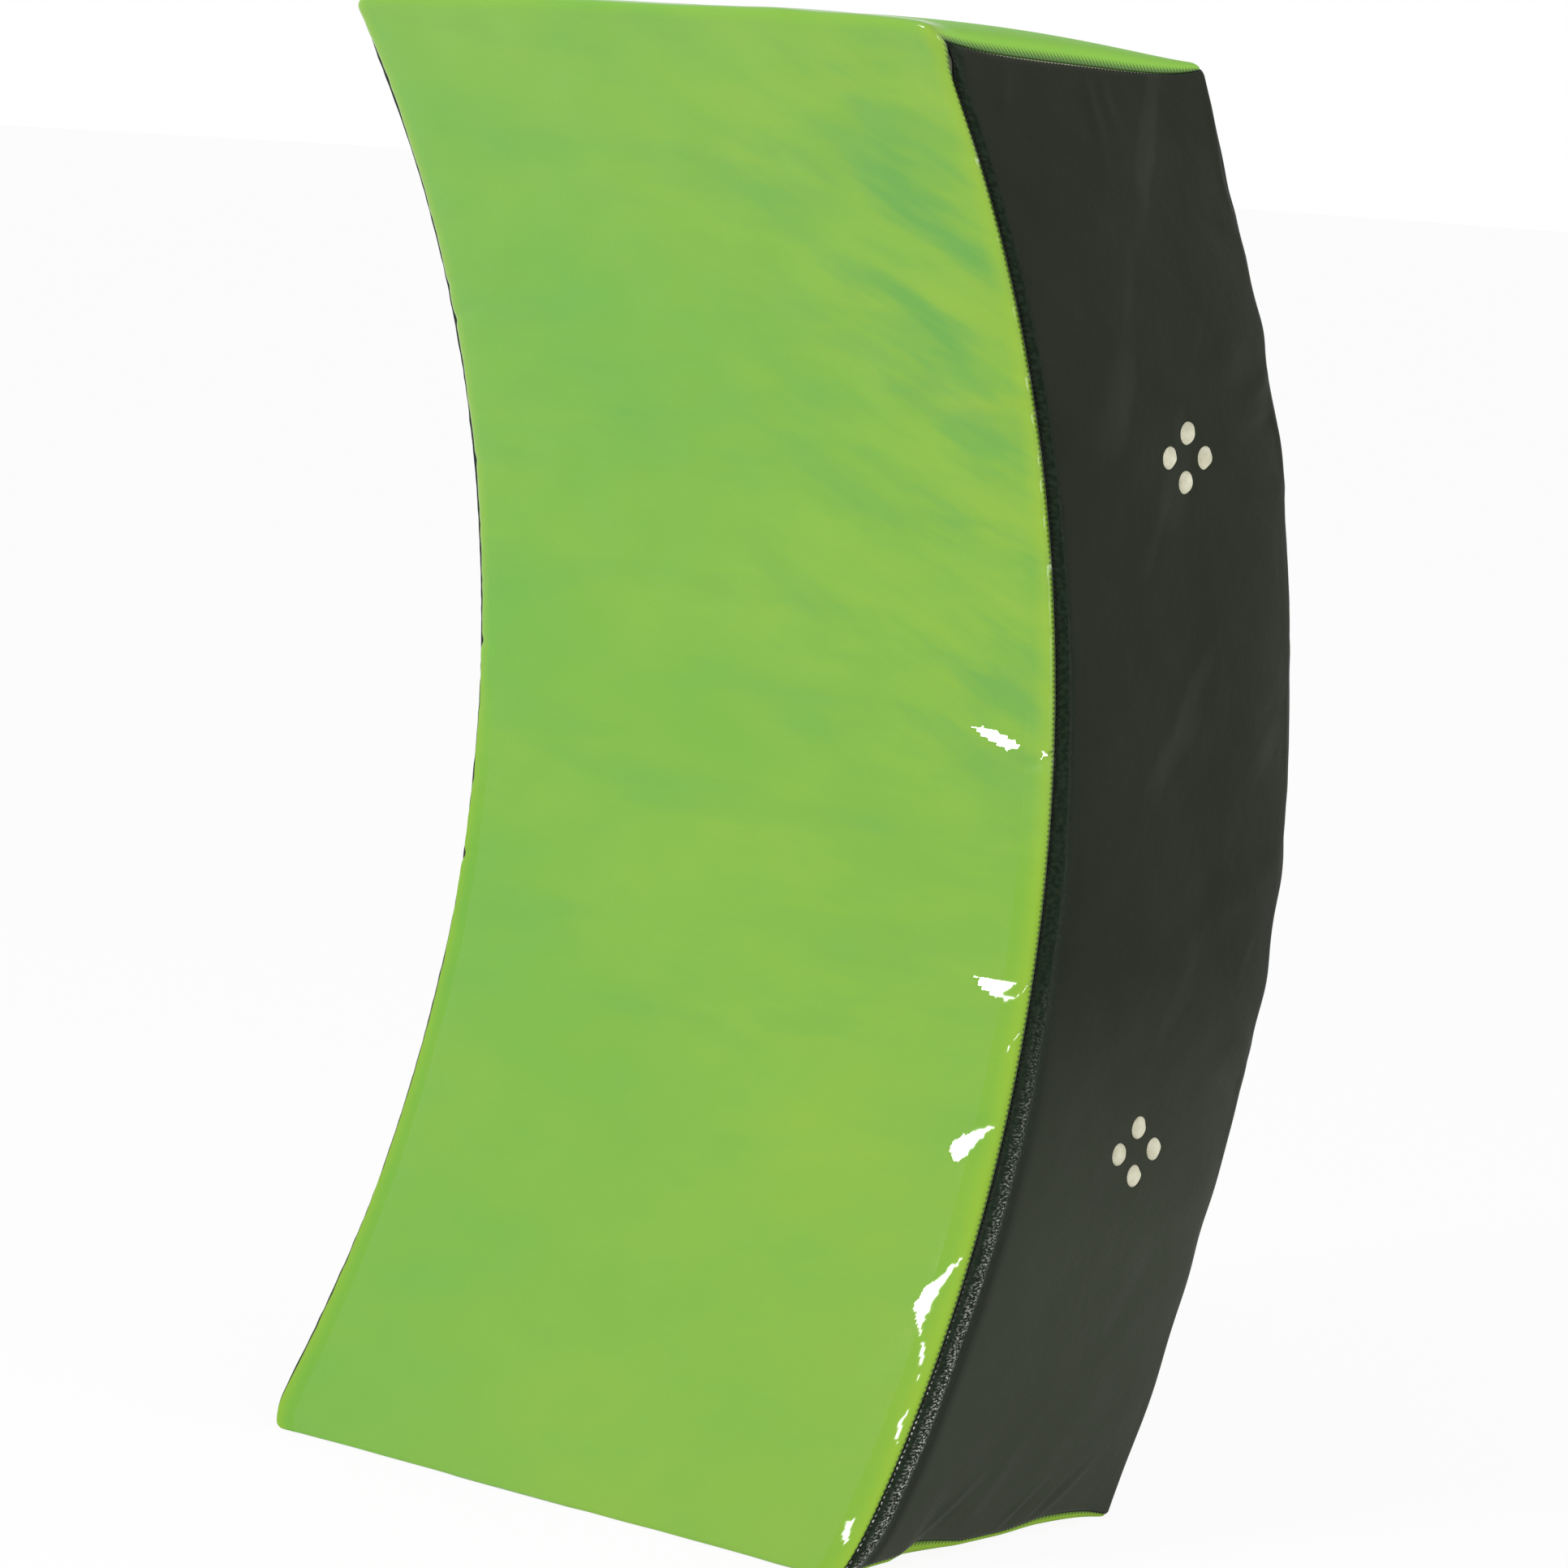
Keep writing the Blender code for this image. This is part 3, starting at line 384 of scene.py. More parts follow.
class Finish:
    """One material of the wedge: its shader, and the nodes that vary it over the surface."""

    def __init__(self, name, colour, roughness, **constants):
        self.material = bpy.data.materials.new(name)
        self.material.use_nodes = True
        self.tree = self.material.node_tree
        self.shader = self.tree.nodes["Principled BSDF"]
        self.material.diffuse_color = (*colour, 1)
        self.set("Base Color", (*colour, 1))
        self.set("Roughness", roughness)
        for socket, value in constants.items():
            self.set(socket.replace("_", " "), value)

    def feed(self, socket, value):
        if isinstance(value, Wire):
            self.tree.links.new(value.socket, socket)
        else:
            socket.default_value = value

    def set(self, name, value):
        self.feed(self.shader.inputs[name], value)

    def node(self, kind, settings=None, inputs=None, output=0):
        made = self.tree.nodes.new(kind)
        for name, value in (settings or {}).items():
            setattr(made, name, value)
        for name, value in (inputs or {}).items():
            self.feed(made.inputs[name], value)
        return Wire(self, made.outputs[output])

    def cloth(self):
        """The place on the flat cloth: across, along, and the distance from the nearest seam."""
        place = self.node("ShaderNodeAttribute", {"attribute_name": "cloth"}, output=1)
        return place, [self.node("ShaderNodeSeparateXYZ", {}, {0: place}, k) for k in range(3)]

    def noise(self, place, scale, detail=2.0, roughness=0.5, stretch=None):
        if stretch:
            place = self.node("ShaderNodeVectorMath", {"operation": "MULTIPLY"}, {0: place, 1: stretch})
        return self.node("ShaderNodeTexNoise", {}, {
            "Vector": place, "Scale": scale, "Detail": detail, "Roughness": roughness,
        })

    def mix(self, share, first, second):
        """One colour fading into another."""
        return self.node("ShaderNodeMix", {"data_type": "RGBA"}, {0: share, 6: first, 7: second}, 2)

    def bump(self, height, distance, strength=1.0, under=None):
        inputs = {"Height": height, "Distance": distance, "Strength": strength}
        if under:
            inputs["Normal"] = under
        return self.node("ShaderNodeBump", {}, inputs)


def linear(*levels):
    """A colour from the 0 to 255 levels that a picture shows."""
    shares = [level / 255 for level in levels]
    return tuple(s / 12.92 if s <= 0.04045 else ((s + 0.055) / 1.055) ** 2.4 for s in shares)


def opaque(*levels):
    return (*linear(*levels), 1)


def plain_weave(across, along, pitch):
    """Threads over and under each other, as a height from 0 to 1."""
    checks = across.wave(2 * pitch) * along.wave(2 * pitch)
    return checks * 0.5 + 0.5


def crest_band(across, middle, half_wide):
    """1 along a line of the cloth, fading to 0 at half_wide from it."""
    return across.step(middle - half_wide, middle) * (1 - across.step(middle, middle + half_wide))


# %% [markdown]
# ## Green coated fabric
# The strike face is polyester fabric with a thick, glossy coat of soft vinyl. It could be one flat
# green, but it is mottled with slow yellow and blue-green patches. Its rim along the seams is painted
# yellower and lighter and its top bluer and lighter, as painted light, and its folds and drag wrinkles
# carry painted shade and painted highlight. Its low roughness gives the sharp white glints that vinyl
# shows on its folds. Where a fold is too small for the mesh, an attribute called lean tips the shading
# normal, and the weave still breaks up its glint. In the lower half the rounded rim along the seams
# would mirror the lamp as one long line, so it is rough there, and a second attribute, glint, keeps
# the glints on it sharp.

# %% Green vinyl
WEAVE_PITCH, BLACK_PITCH, SEAM_RAGGED = 1.2 * MM, 1.05 * MM, 0.4 * MM
green = Finish("green_vinyl", linear(127, 181, 58), 0.1, Specular_IOR_Level=0.5)
place, (across, along, seam) = green.cloth()

# Slow patches, yellower to the right and lower down, under smaller bluer ones.
slow = green.noise(place, 4.5, 3.0, 0.6, (1.0, 1.7, 0.0))
patchy = green.noise(place, 20.0, 4.0, 0.65, (0.7, 1.8, 0.0))
drift = across * 1.3 - along * 0.2 + 0.62
yellow = (slow.step(0.3, 0.7) * 0.5 + drift).step(0.3, 1.15)
tone = green.mix(yellow, opaque(106, 171, 56), opaque(135, 179, 50))
tone = green.mix(patchy.step(0.5, 0.8) * 0.4, tone, opaque(108, 173, 60))

# Painted shade on level folds from a quarter of the height up, and painted shade and painted
# highlight on slanting drag streaks in the upper right.
painted_fold_shading = green.noise(place, 1.0, 3.0, 0.55, (6.0, 30.0, 0.0))
turned_place = {0: across * 0.4 + along * 0.92, 1: across * 0.92 - along * 0.4}
tilted = green.node("ShaderNodeCombineXYZ", {}, turned_place)
painted_drag_shading = green.noise(tilted, 1.0, 3.0, 0.55, (36.0, 8.0, 0.0))
tone = green.mix(painted_fold_shading.step(0.5, 0.7) * along.step(0.32, 0.42) * 0.4, tone, opaque(100, 165, 62))
pulled = across.step(-0.02, 0.13) * along.step(0.5, 0.62) * (1 - along.step(0.87, 0.89))
tone = green.mix(painted_drag_shading.step(0.5, 0.66) * pulled * 0.8, tone, opaque(94, 162, 66))
tone = green.mix((1 - painted_drag_shading.step(0.34, 0.48)) * pulled * 0.4, tone, opaque(146, 186, 50))

# A yellow rim along the seams and a bluer top, both painted lighter as painted light, the dark line of the
# seam itself and a few specks.
tone = green.mix((1 - seam.step(0.0015, 0.011)) * 0.75, tone, opaque(146, 184, 46))
tone = green.mix(along.step(0.89, 0.9) * 0.6, tone, opaque(128, 200, 66))
ragged = seam + along.wave(STITCH) * SEAM_RAGGED
tone = green.mix((1 - ragged.step(0.0003, 0.0013)) * 0.85, tone, opaque(38, 66, 36))
speck = green.noise(place, 55.0, 1.0, 0.4)
tone = green.mix(speck.step(0.845, 0.86) * 0.7, tone, opaque(30, 45, 25))
green.set("Base Color", tone)

# Gloss everywhere but on the lower rim and the top.
glossy = green.node("ShaderNodeAttribute", {"attribute_name": "glint"}, output=2)
rim = (1 - seam.step(0.015, 0.01501)) * (1 - along.step(0.5, 0.65)) * (1 - glossy)
green.set("Roughness", 0.07 + patchy * 0.06 + rim * 0.75 + along.step(0.895, 0.91) * 0.5)

# The weave and a fine grain, on the normal that the glints tip over.
leaning = green.node("ShaderNodeAttribute", {"attribute_name": "lean"}, output=1)
upright = green.node("ShaderNodeNewGeometry", output=1)
turned = green.node("ShaderNodeVectorMath", {"operation": "ADD"}, {0: upright, 1: leaning})
turned = green.node("ShaderNodeVectorMath", {"operation": "NORMALIZE"}, {0: turned})
weave = plain_weave(across, along, WEAVE_PITCH)
fine = green.bump(weave, 0.00003, 0.6, turned)
green.set("Normal", green.bump(green.noise(place, 300.0, 3.0, 0.6), 0.0001, 0.4, fine))
print("made", green.material.name)

# %% [markdown]
# ## Black coated fabric
# The sides and the back are a duller black fabric whose weave shows through its thin coat. A plain
# weave is two sets of threads a millimetre apart, so its relief is the product of two sine waves.
# Dirt and rubbing make it patchy. It is painted a little browner and lighter in its lower third, as
# painted light. The ridge along the front seam and the groove behind it carry painted shade, and low
# on that seam the ridge and the fold carry pale specks of painted highlight.

# %% Black vinyl
black = Finish("black_vinyl", linear(38, 43, 32), 0.45, Specular_IOR_Level=0.07)
place, (across, along, seam) = black.cloth()
weave = plain_weave(across, along, BLACK_PITCH)

# Rubbed patches, painted light that makes the lower third lighter, and painted sheen on faint
# slanting folds.
rubbed = black.noise(place, 14.0, 4.0, 0.6)
low = 1 - along.step(0.14, 0.27)
tone = black.mix(rubbed.step(0.4, 0.7) * 0.15 + low * 0.85, opaque(31, 36, 25), opaque(55, 60, 49))
turned_place = {0: across * 0.87 - along * 0.5, 1: across * 0.5 + along * 0.87}
tilted = black.node("ShaderNodeCombineXYZ", {}, turned_place)
painted_fold_shading = black.noise(tilted, 1.0, 2.0, 0.5, (38.0, 9.0, 0.0)).step(0.58, 0.76) * across.step(0.03, 0.08)
tone = black.mix(painted_fold_shading * 0.3, tone, opaque(66, 70, 62))

# The ridge along the front seam is painted a mottled dark green as painted shade, with more painted shade in
# the groove behind it low down.
# It narrows with height, so its place across is stretched the same way.
mottle = black.noise(place, 420.0, 2.0, 0.5)
on_ridge = across / (1 - along.step(0.21, 0.525) * TAPER)
painted_shade_ridge_tone = black.mix(mottle.step(0.4, 0.62), opaque(12, 27, 14), opaque(30, 42, 29))
tone = black.mix((1 - on_ridge.step(0.0125, 0.019)) * 0.88, tone, painted_shade_ridge_tone)
tone = black.mix(crest_band(on_ridge, 0.017, 0.005) * low * 0.5, tone, opaque(20, 24, 17))

# Low down its crest carries pale specks of painted highlight, and so does the fold at the seam between the
# stitches.
grain = black.noise(place, 1100.0, 1.0, 0.5, (0.8, 1.0, 0.0))
painted_crest_highlight = crest_band(on_ridge, 0.0068, 0.0037) * (1 - along.step(0.09, 0.27)) * grain.step(0.5, 0.62)
tone = black.mix(painted_crest_highlight * mottle.step(0.3, 0.5), tone, opaque(186, 186, 176))
ragged = seam + along.wave(STITCH) * SEAM_RAGGED
tone = black.mix((1 - ragged.step(0.0006, 0.0022)) * 0.85, tone, opaque(3, 6, 3))
painted_fold_highlight = crest_band(across, 0.0011, 0.0006) * (1 - along.step(0.055, 0.14)) * along.wave(STITCH).step(-0.2, 0.4)
tone = black.mix(painted_fold_highlight * black.noise(place, 190.0, 2.0).step(0.4, 0.56), tone, opaque(235, 238, 230))

# A few specks of dust, and a roughness that follows rubbing and weave.
dust = black.noise(place, 60.0, 1.0, 0.4)
tone = black.mix(dust.step(0.845, 0.86) * 0.5, tone, opaque(150, 152, 148))
black.set("Base Color", tone)
black.set("Roughness", 0.42 + rubbed * 0.2 - weave * 0.08)
fine = black.bump(weave, 0.00012, 0.6)
black.set("Normal", black.bump(black.noise(place, 90.0, 4.0, 0.6), 0.0008, 0.4, fine))
print("made", black.material.name)

# %% [markdown]
# ## Foam, webbing, thread and zip
# The foam is pale open-cell polyurethane, aged to cream. Webbing and tape are woven with a cord every
# few threads, which gives them ribs. Thread is twisted, and the zip is moulded plastic with plated
# zinc fittings.

# %% Small finishes
def object_place(finish):
    return finish.node("ShaderNodeTexCoord", {}, {}, 3)


foam = Finish("foam", linear(214, 211, 186), 0.95)
place = object_place(foam)
cells = foam.node("ShaderNodeTexVoronoi", {}, {"Vector": place, "Scale": 1400.0})
aged = foam.noise(place, 160.0, 3.0)
foam.set("Base Color", foam.mix(aged.step(0.3, 0.7), opaque(199, 196, 170), opaque(224, 221, 198)))
foam.set("Normal", foam.bump(cells, 0.0003, 0.6))

thread_seam = Finish("seam", linear(24, 30, 22), 0.75)
place = object_place(thread_seam)
strands = thread_seam.noise(place, 900.0, 2.0)
thread_seam.set("Base Color", thread_seam.mix(strands, opaque(14, 18, 13), opaque(40, 46, 36)))
thread_seam.set("Normal", thread_seam.bump(strands, 0.0003, 0.5))

thread = Finish("thread", linear(20, 26, 20), 0.6, Specular_IOR_Level=0.2)
place = object_place(thread)
twist = thread.noise(place, 1600.0, 1.0)
thread.set("Base Color", thread.mix(twist, opaque(12, 17, 12), opaque(36, 42, 34)))
thread.set("Roughness", 0.5 + twist * 0.2)
thread.set("Normal", thread.bump(twist, 0.0001, 0.3))


def woven(name, colour, light, pitch, roughness):
    """A ribbed narrow fabric. Its cloth place is across the strip and along it."""
    finish = Finish(name, linear(*colour), roughness, Sheen_Weight=0.08, Specular_IOR_Level=0.25)
    place, (across, along, _) = finish.cloth()
    ribs = plain_weave(across, along, pitch)
    cords = across.wave(4 * pitch) * 0.5 + 0.5
    worn = finish.noise(place, 60.0, 4.0, 0.6)
    tone = finish.mix(ribs * worn.step(0.3, 0.8), opaque(*colour), opaque(*light))
    tone = finish.mix(cords * 0.6, tone, opaque(*(level // 3 for level in colour)))
    finish.set("Base Color", tone)
    finish.set("Normal", finish.bump(ribs * 0.4 + cords * 0.6, 0.0009, 0.9))
    return finish


webbing = woven("webbing", (27, 28, 28), (58, 58, 57), 0.0016, 0.8)
binding = woven("pad_cloth", (24, 25, 26), (48, 49, 50), 0.0009, 0.85)
tape_cloth = woven("zip_tape", (24, 25, 25), (46, 47, 47), 0.0007, 0.85)


def moulded(name, colour, light, roughness, scale, metallic=0.0):
    """A plain moulded or plated finish with a fine grain and rubbed patches."""
    finish = Finish(name, linear(*colour), roughness, Metallic=metallic)
    place = object_place(finish)
    rubbed = finish.noise(place, scale, 4.0, 0.6)
    finish.set("Base Color", finish.mix(rubbed.step(0.4, 0.75), opaque(*colour), opaque(*light)))
    finish.set("Roughness", roughness - 0.12 + rubbed * 0.25)
    finish.set("Normal", finish.bump(finish.noise(place, scale * 6, 2.0), 0.0001, 0.3))
    return finish


zip_plastic = moulded("zip_plastic", (22, 22, 23), (38, 38, 39), 0.4, 250.0)
zip_metal = moulded("zip_metal", (92, 94, 96), (140, 142, 144), 0.32, 300.0, 1.0)
print("small finishes:", [f.material.name for f in (foam, thread_seam, thread, webbing, binding, tape_cloth)])

# %% [markdown]
# ## The green strike face
# One strip of green vinyl runs from the back edge of the base, under the foam, up the hollow face
# and over the top to the back. It has no seam at its folds. It could be draped by simulation, but
# the cover is pulled tight, and what shows are the small marks of sewing: pinches where the seam
# gathered the cloth, soft blisters between them, and a few diagonal drag lines. Those are written
# as a list of marks, so each sits where the photograph shows it.

# %% Marks on the strike face
# Each pinch at the right seam: height, depth, length inwards and slope, in millimetres.
PINCHES = (
    (646, 0.9, 9, 0.05), (612, 0.4, 7, -0.1), (580, 0.5, 10, 0.1), (548, 1.2, 12, 0.25),
    (531, 1.4, 16, 0.35), (500, 0.5, 8, 0.1), (463, 1.2, 12, -0.15), (430, 0.5, 10, 0.1),
    (402, 0.6, 12, 0.0), (372, 1.5, 20, -0.25), (338, 0.6, 9, 0.1), (301, 0.7, 12, 0.1),
    (262, 1.6, 22, 0.2), (236, 0.8, 11, 0.5), (206, 0.4, 10, 0.6), (178, 0.3, 8, 0.2),
    (152, 0.1, 8, 0.3), (130, 0.15, 9, 0.5), (104, 0.15, 9, 0.6), (82, 0.3, 8, 0.5),
    (60, 0.4, 8, 0.5), (44, 0.3, 8, 0.3), (28, 0.4, 8, 0.4),
)
# Each drag line: x, height, half length, half width, turn in degrees and how proud.
DRAG_LINES = (
    (140, 545, 48, 9, -18, 1.1), (140, 523, 50, 8, -14, -1.0), (92, 585, 40, 12, 22, 0.8),
    (60, 548, 34, 12, -15, -0.7), (20, 590, 60, 14, -12, 0.6), (-60, 620, 50, 16, 16, 0.6),
    (110, 640, 36, 14, -25, 0.5), (-120, 470, 46, 14, 10, -0.5), (-100, 250, 60, 16, -8, 0.5),
    (40, 150, 70, 18, 12, 0.5),
)
# Each glint on a small fold, as a stroke of points: x, height and half width.
GLINTS = (
    ((138.6, 382.6, 0.6), (145.6, 380.8, 2.6), (154.2, 378.7, 3.2), (162.3, 377.0, 3.0), (166.5, 376.6, 0.8)),
    ((177.7, 372.4, 0.4), (180.2, 373.8, 1.7), (183.4, 375.3, 0.5)),
    ((153.0, 266.5, 0.6), (161.5, 265.1, 2.6), (169.5, 265.1, 2.3), (176.4, 266.1, 0.6)),
    ((157.0, 263.9, 1.0), (165.7, 261.3, 2.3), (172.8, 259.7, 1.6), (178.0, 260.6, 0.6)),
    ((178.8, 261.9, 0.5), (181.6, 265.4, 0.6), (183.0, 268.2, 0.4)),
    ((182.5, 245.5, 0.4), (180.4, 241.3, 0.4)), ((178.9, 238.8, 0.45), (177.6, 234.8, 0.3)),
    ((179.2, 201.5, 0.5), (173.9, 197.3, 2.0), (168.2, 192.2, 3.6), (164.0, 188.7, 4.7), (164.1, 185.9, 2.8)),
    ((180.4, 141.7, 0.5), (176.8, 136.2, 1.1), (173.0, 128.8, 2.2), (169.4, 123.5, 3.4), (168.2, 118.4, 4.2),
     (168.4, 113.4, 2.6), (170.2, 109.0, 1.2), (172.0, 105.4, 0.4)),
    ((174.9, 102.0, 1.1), (175.6, 98.8, 1.4), (176.7, 95.4, 1.0), (176.9, 92.7, 0.4)),
    ((178.3, 88.5, 0.5), (178.5, 87.5, 0.4)),
    ((179.5, 74.0, 0.4), (178.2, 70.2, 0.9), (178.3, 65.3, 1.0), (179.7, 61.1, 0.9), (180.0, 59.4, 0.3)),
    ((175.2, 25.4, 0.5), (173.8, 22.6, 2.0), (174.8, 19.3, 2.0), (176.8, 16.2, 0.9)),
)
# Where the lamp stands that the glints mirror.
FRONT_BOX = AIM + Vector((-0.229, -0.877, 0.423)).normalized() * 2.4
# How far the rim of a glint wavers and how long its waves are, in millimetres.
RAGGED, RAGGED_LONG = 0.35, 5
# The groove that a seam pulls into both of its panels, and the rim that no relief lifts.
GROOVE_DEEP, GROOVE_WIDE, STILL_RIM = 1.0 * MM, 1.7 * MM, 1.5 * MM
# Lengths of the strike face's swelling and dimples, and of the puckers and creases near its seams.
SWELL_LONG, DIMPLE_LONG, PUCKER_LONG, CREASE_LONG = 150 * MM, 45 * MM, 22 * MM, 11 * MM
CALM_RIM, PUCKER_REACH, PUCKER_FROM, PUCKER_OVER = 20 * MM, 24 * MM, 200 * MM, 80 * MM
# A pinch's half width, and how much higher the left seam's pinches sit, in millimetres.
PINCH_WIDE, LEFT_SHIFT = 2.6, 17
print(len(PINCHES), "pinches,", len(DRAG_LINES), "drag lines and", len(GLINTS), "glints")

# %% [markdown]
# The relief is the sum of soft noise and these marks. A glint is also told to the vinyl: its normals
# lean so that it mirrors the lamp, and a second attribute says where it lies.

# %% Relief of the strike face
def stroke_cover(x, z, stroke):
    """1 on a stroke of tapering width, fading to 0 just outside it."""
    x, z = x / MM, z / MM
    x = x + RAGGED * soft_noise(x, z, RAGGED_LONG, 91)
    z = z + RAGGED * soft_noise(x, z, RAGGED_LONG, 92)
    nearest = np.full(x.shape, np.inf)
    for (x_0, z_0, wide_0), (x_1, z_1, wide_1) in zip(stroke, stroke[1:]):
        long_x, long_z = x_1 - x_0, z_1 - z_0
        share = np.clip(((x - x_0) * long_x + (z - z_0) * long_z) / (long_x ** 2 + long_z ** 2), 0, 1)
        away = np.hypot(x - x_0 - share * long_x, z - z_0 - share * long_z)
        nearest = np.minimum(nearest, away / (wide_0 + (wide_1 - wide_0) * share))
    return 1 - ease((nearest - 0.9) / 0.5)


def mirror_lean(points, cover):
    """What to add to the unit normals of a grid, so that it mirrors the soft box where cover is 1."""
    normals = np.cross(np.gradient(points, axis=1), np.gradient(points, axis=0))
    normals /= np.maximum(np.linalg.norm(normals, axis=-1, keepdims=True), 1e-12)
    towards_eye, towards_box = np.array(eye) - points, np.array(FRONT_BOX) - points
    half_way = towards_eye / np.linalg.norm(towards_eye, axis=-1, keepdims=True)
    half_way = half_way + towards_box / np.linalg.norm(towards_box, axis=-1, keepdims=True)
    half_way /= np.linalg.norm(half_way, axis=-1, keepdims=True)
    return (half_way - normals) * cover[..., None]


def seam_distance(x):
    return WIDTH / 2 - np.abs(x)


def seam_groove(away):
    """How deep a seam pulls the cloth in, at a distance from it. Both sides of a seam use it."""
    return GROOVE_DEEP * np.exp(-(away / GROOVE_WIDE) ** 2)


def spot(x, z, x_mid, z_mid, half_long, half_wide, turn):
    """The squared distance from a spot's middle, 1 at the rim of its turned oval."""
    c, s = math.cos(math.radians(turn)), math.sin(math.radians(turn))
    a, b = x - x_mid * MM, z - z_mid * MM
    return ((a * c + b * s) / (half_long * MM)) ** 2 + ((b * c - a * s) / (half_wide * MM)) ** 2


def face_relief(x, z, off_face):
    """How far the strike face stands proud of the smooth block. It fades on the folded ends."""
    away = seam_distance(x)
    out = 0.45 * soft_noise(x, z, SWELL_LONG, 3) + 0.16 * soft_noise(x, z * 1.5, DIMPLE_LONG, 8)
    out = out * np.clip(away / CALM_RIM, 0, 1)
    near = np.exp(-away / PUCKER_REACH) * (0.25 + 0.75 * ease((z - PUCKER_FROM) / PUCKER_OVER))
    pucker, crease = soft_noise(x * 0.25, z, PUCKER_LONG, 21), soft_noise(x * 0.3, z, CREASE_LONG, 5)
    out += near * (0.15 * pucker + 0.07 * crease)
    for side, shift in ((1, 0), (-1, LEFT_SHIFT)):
        inside = np.where(x * side > 0, 1.0, 0.0)
        for height, deep, reach, slope in PINCHES:
            line = (z - (height + shift) * MM - slope * away) / (PINCH_WIDE * MM)
            out -= inside * deep * 0.8 * np.exp(-line ** 2) * np.exp(-away / (reach * MM))
    for x_mid, z_mid, half_long, half_wide, turn, proud in DRAG_LINES:
        out += proud * np.exp(-spot(x, z, x_mid, z_mid, half_long, half_wide, turn))
    for stroke in GLINTS:
        out += 0.08 * stroke_cover(x, z, [(a, b, 1.5 * wide + 1) for a, b, wide in stroke])
    return out * np.clip(1 - off_face, 0, 1) * MM


# %% [markdown]
# The grid is finest at the right, where the glints are. It runs along the base from its back edge to
# the front, up the face and over the top.

# %% The green sheet
# For each stretch of the grid: the step near its ends, the step between and the width of its ends.
LEFT_STEPS, FINE_STEPS = (1.2 * MM, 4.5 * MM, 14 * MM), (1 * MM, 1.2 * MM, 8 * MM)
END_STEPS, RISE_STEPS = (1 * MM, 5 * MM, 12 * MM), (1 * MM, 1.7 * MM, 12 * MM)
FINE_WIDTH, MIDDLE_END, MIDDLE_COLUMNS = 52 * MM, 130 * MM, 28
# How far in from the front fold the relief fades: all of it on the base, this share of it on the top.
BASE_FADE, TOP_FADE, TOP_CALM = 4 * MM, 60 * MM, 0.6

left_columns = spaced(-WIDTH / 2 + SEAM_GAP, 0, *LEFT_STEPS)[:-1]
fine_columns = spaced(WIDTH / 2 - FINE_WIDTH, WIDTH / 2 - SEAM_GAP, *FINE_STEPS)
columns = np.concatenate([left_columns, np.linspace(0, MIDDLE_END, MIDDLE_COLUMNS), fine_columns])
flat_ends = spaced(0, DEPTH - SEAM_GAP, *END_STEPS)
rise = spaced(0, HEIGHT, *RISE_STEPS)
q_path = np.concatenate([flat_ends[:0:-1], 0 * rise, flat_ends[1:]])
z_path = np.concatenate([0 * flat_ends[1:], rise, 0 * flat_ends[1:] + HEIGHT])
run = np.concatenate([[0], np.cumsum(np.hypot(np.diff(q_path), np.diff(z_path)))])
across, depth = np.meshgrid(columns, q_path)
height, length = np.broadcast_to(z_path[:, None], across.shape), np.broadcast_to(run[:, None], across.shape)
on_base = height < 1e-6
off_face = np.where(on_base, np.clip(depth / BASE_FADE, 0, 1), np.clip(depth / TOP_FADE, 0, TOP_CALM))
relief = face_relief(across, height, off_face)
relief = np.where(on_base, np.minimum(relief, 0), relief)
edge_away = np.minimum(seam_distance(across), DEPTH - depth)
relief = relief * np.clip(edge_away / STILL_RIM, 0, 1) - seam_groove(edge_away)
outer = cover_point(across, depth, height, -relief)
inner = cover_point(across, depth, height, COVER - relief)
flat_place = np.stack([across, length, edge_away], -1)
wrap = new_sheet("strike_face_cover", outer, inner, flat_place, green.material)
glinting = np.max([stroke_cover(across, height, stroke) for stroke in GLINTS], axis=0) * (off_face < 0.01)
lean = mirror_lean(outer, glinting)
mark(wrap, "lean", np.concatenate([lean.reshape(-1, 3), 0 * lean.reshape(-1, 3)]))
mark(wrap, "glint", np.repeat(np.concatenate([glinting.ravel(), 0 * glinting.ravel()]), 3))
print("points that glint:", int((glinting > 0.5).sum()))
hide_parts("face_wrap")
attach(wrap, "pad")

# %% [markdown]
# ## The black side panels
# Each side panel is sewn to the green strip along its front edge. Both seam allowances are turned
# back under it and lift it into a ridge 13 mm wide, which narrows towards the top. Each half has
# four punched air vents in a diamond. The ridge and the swelling are in the grid. The vents are cut
# out of it afterwards, because a grid can't have a round hole of its own.

# %% Side panels
VENT_RADIUS, VENT_SIDES, PUNCH_LONG = 5.6 * MM, 32, 20 * MM
# A diamond's depth behind the face, its distance above or below the middle and how much lower both
# sit, then its half width, half height and lean.
VENT_DEEP, VENT_RISE, VENT_DROP = 104.5 * MM, 166 * MM, 3.5 * MM
DIAMOND_WIDE, DIAMOND_TALL, DIAMOND_LEAN = 14 * MM, 11.7 * MM, 0.25
vents = []
for half in (-1, 1):
    for step_across, step_up in ((-1, 0), (1, 0), (0, -1), (0, 1)):
        up = step_up * DIAMOND_TALL
        q_vent = VENT_DEEP + step_across * DIAMOND_WIDE + half * DIAMOND_LEAN * up
        vents.append((q_vent, HEIGHT / 2 - VENT_DROP + half * VENT_RISE + up))
print(len(vents), "vents on each side")

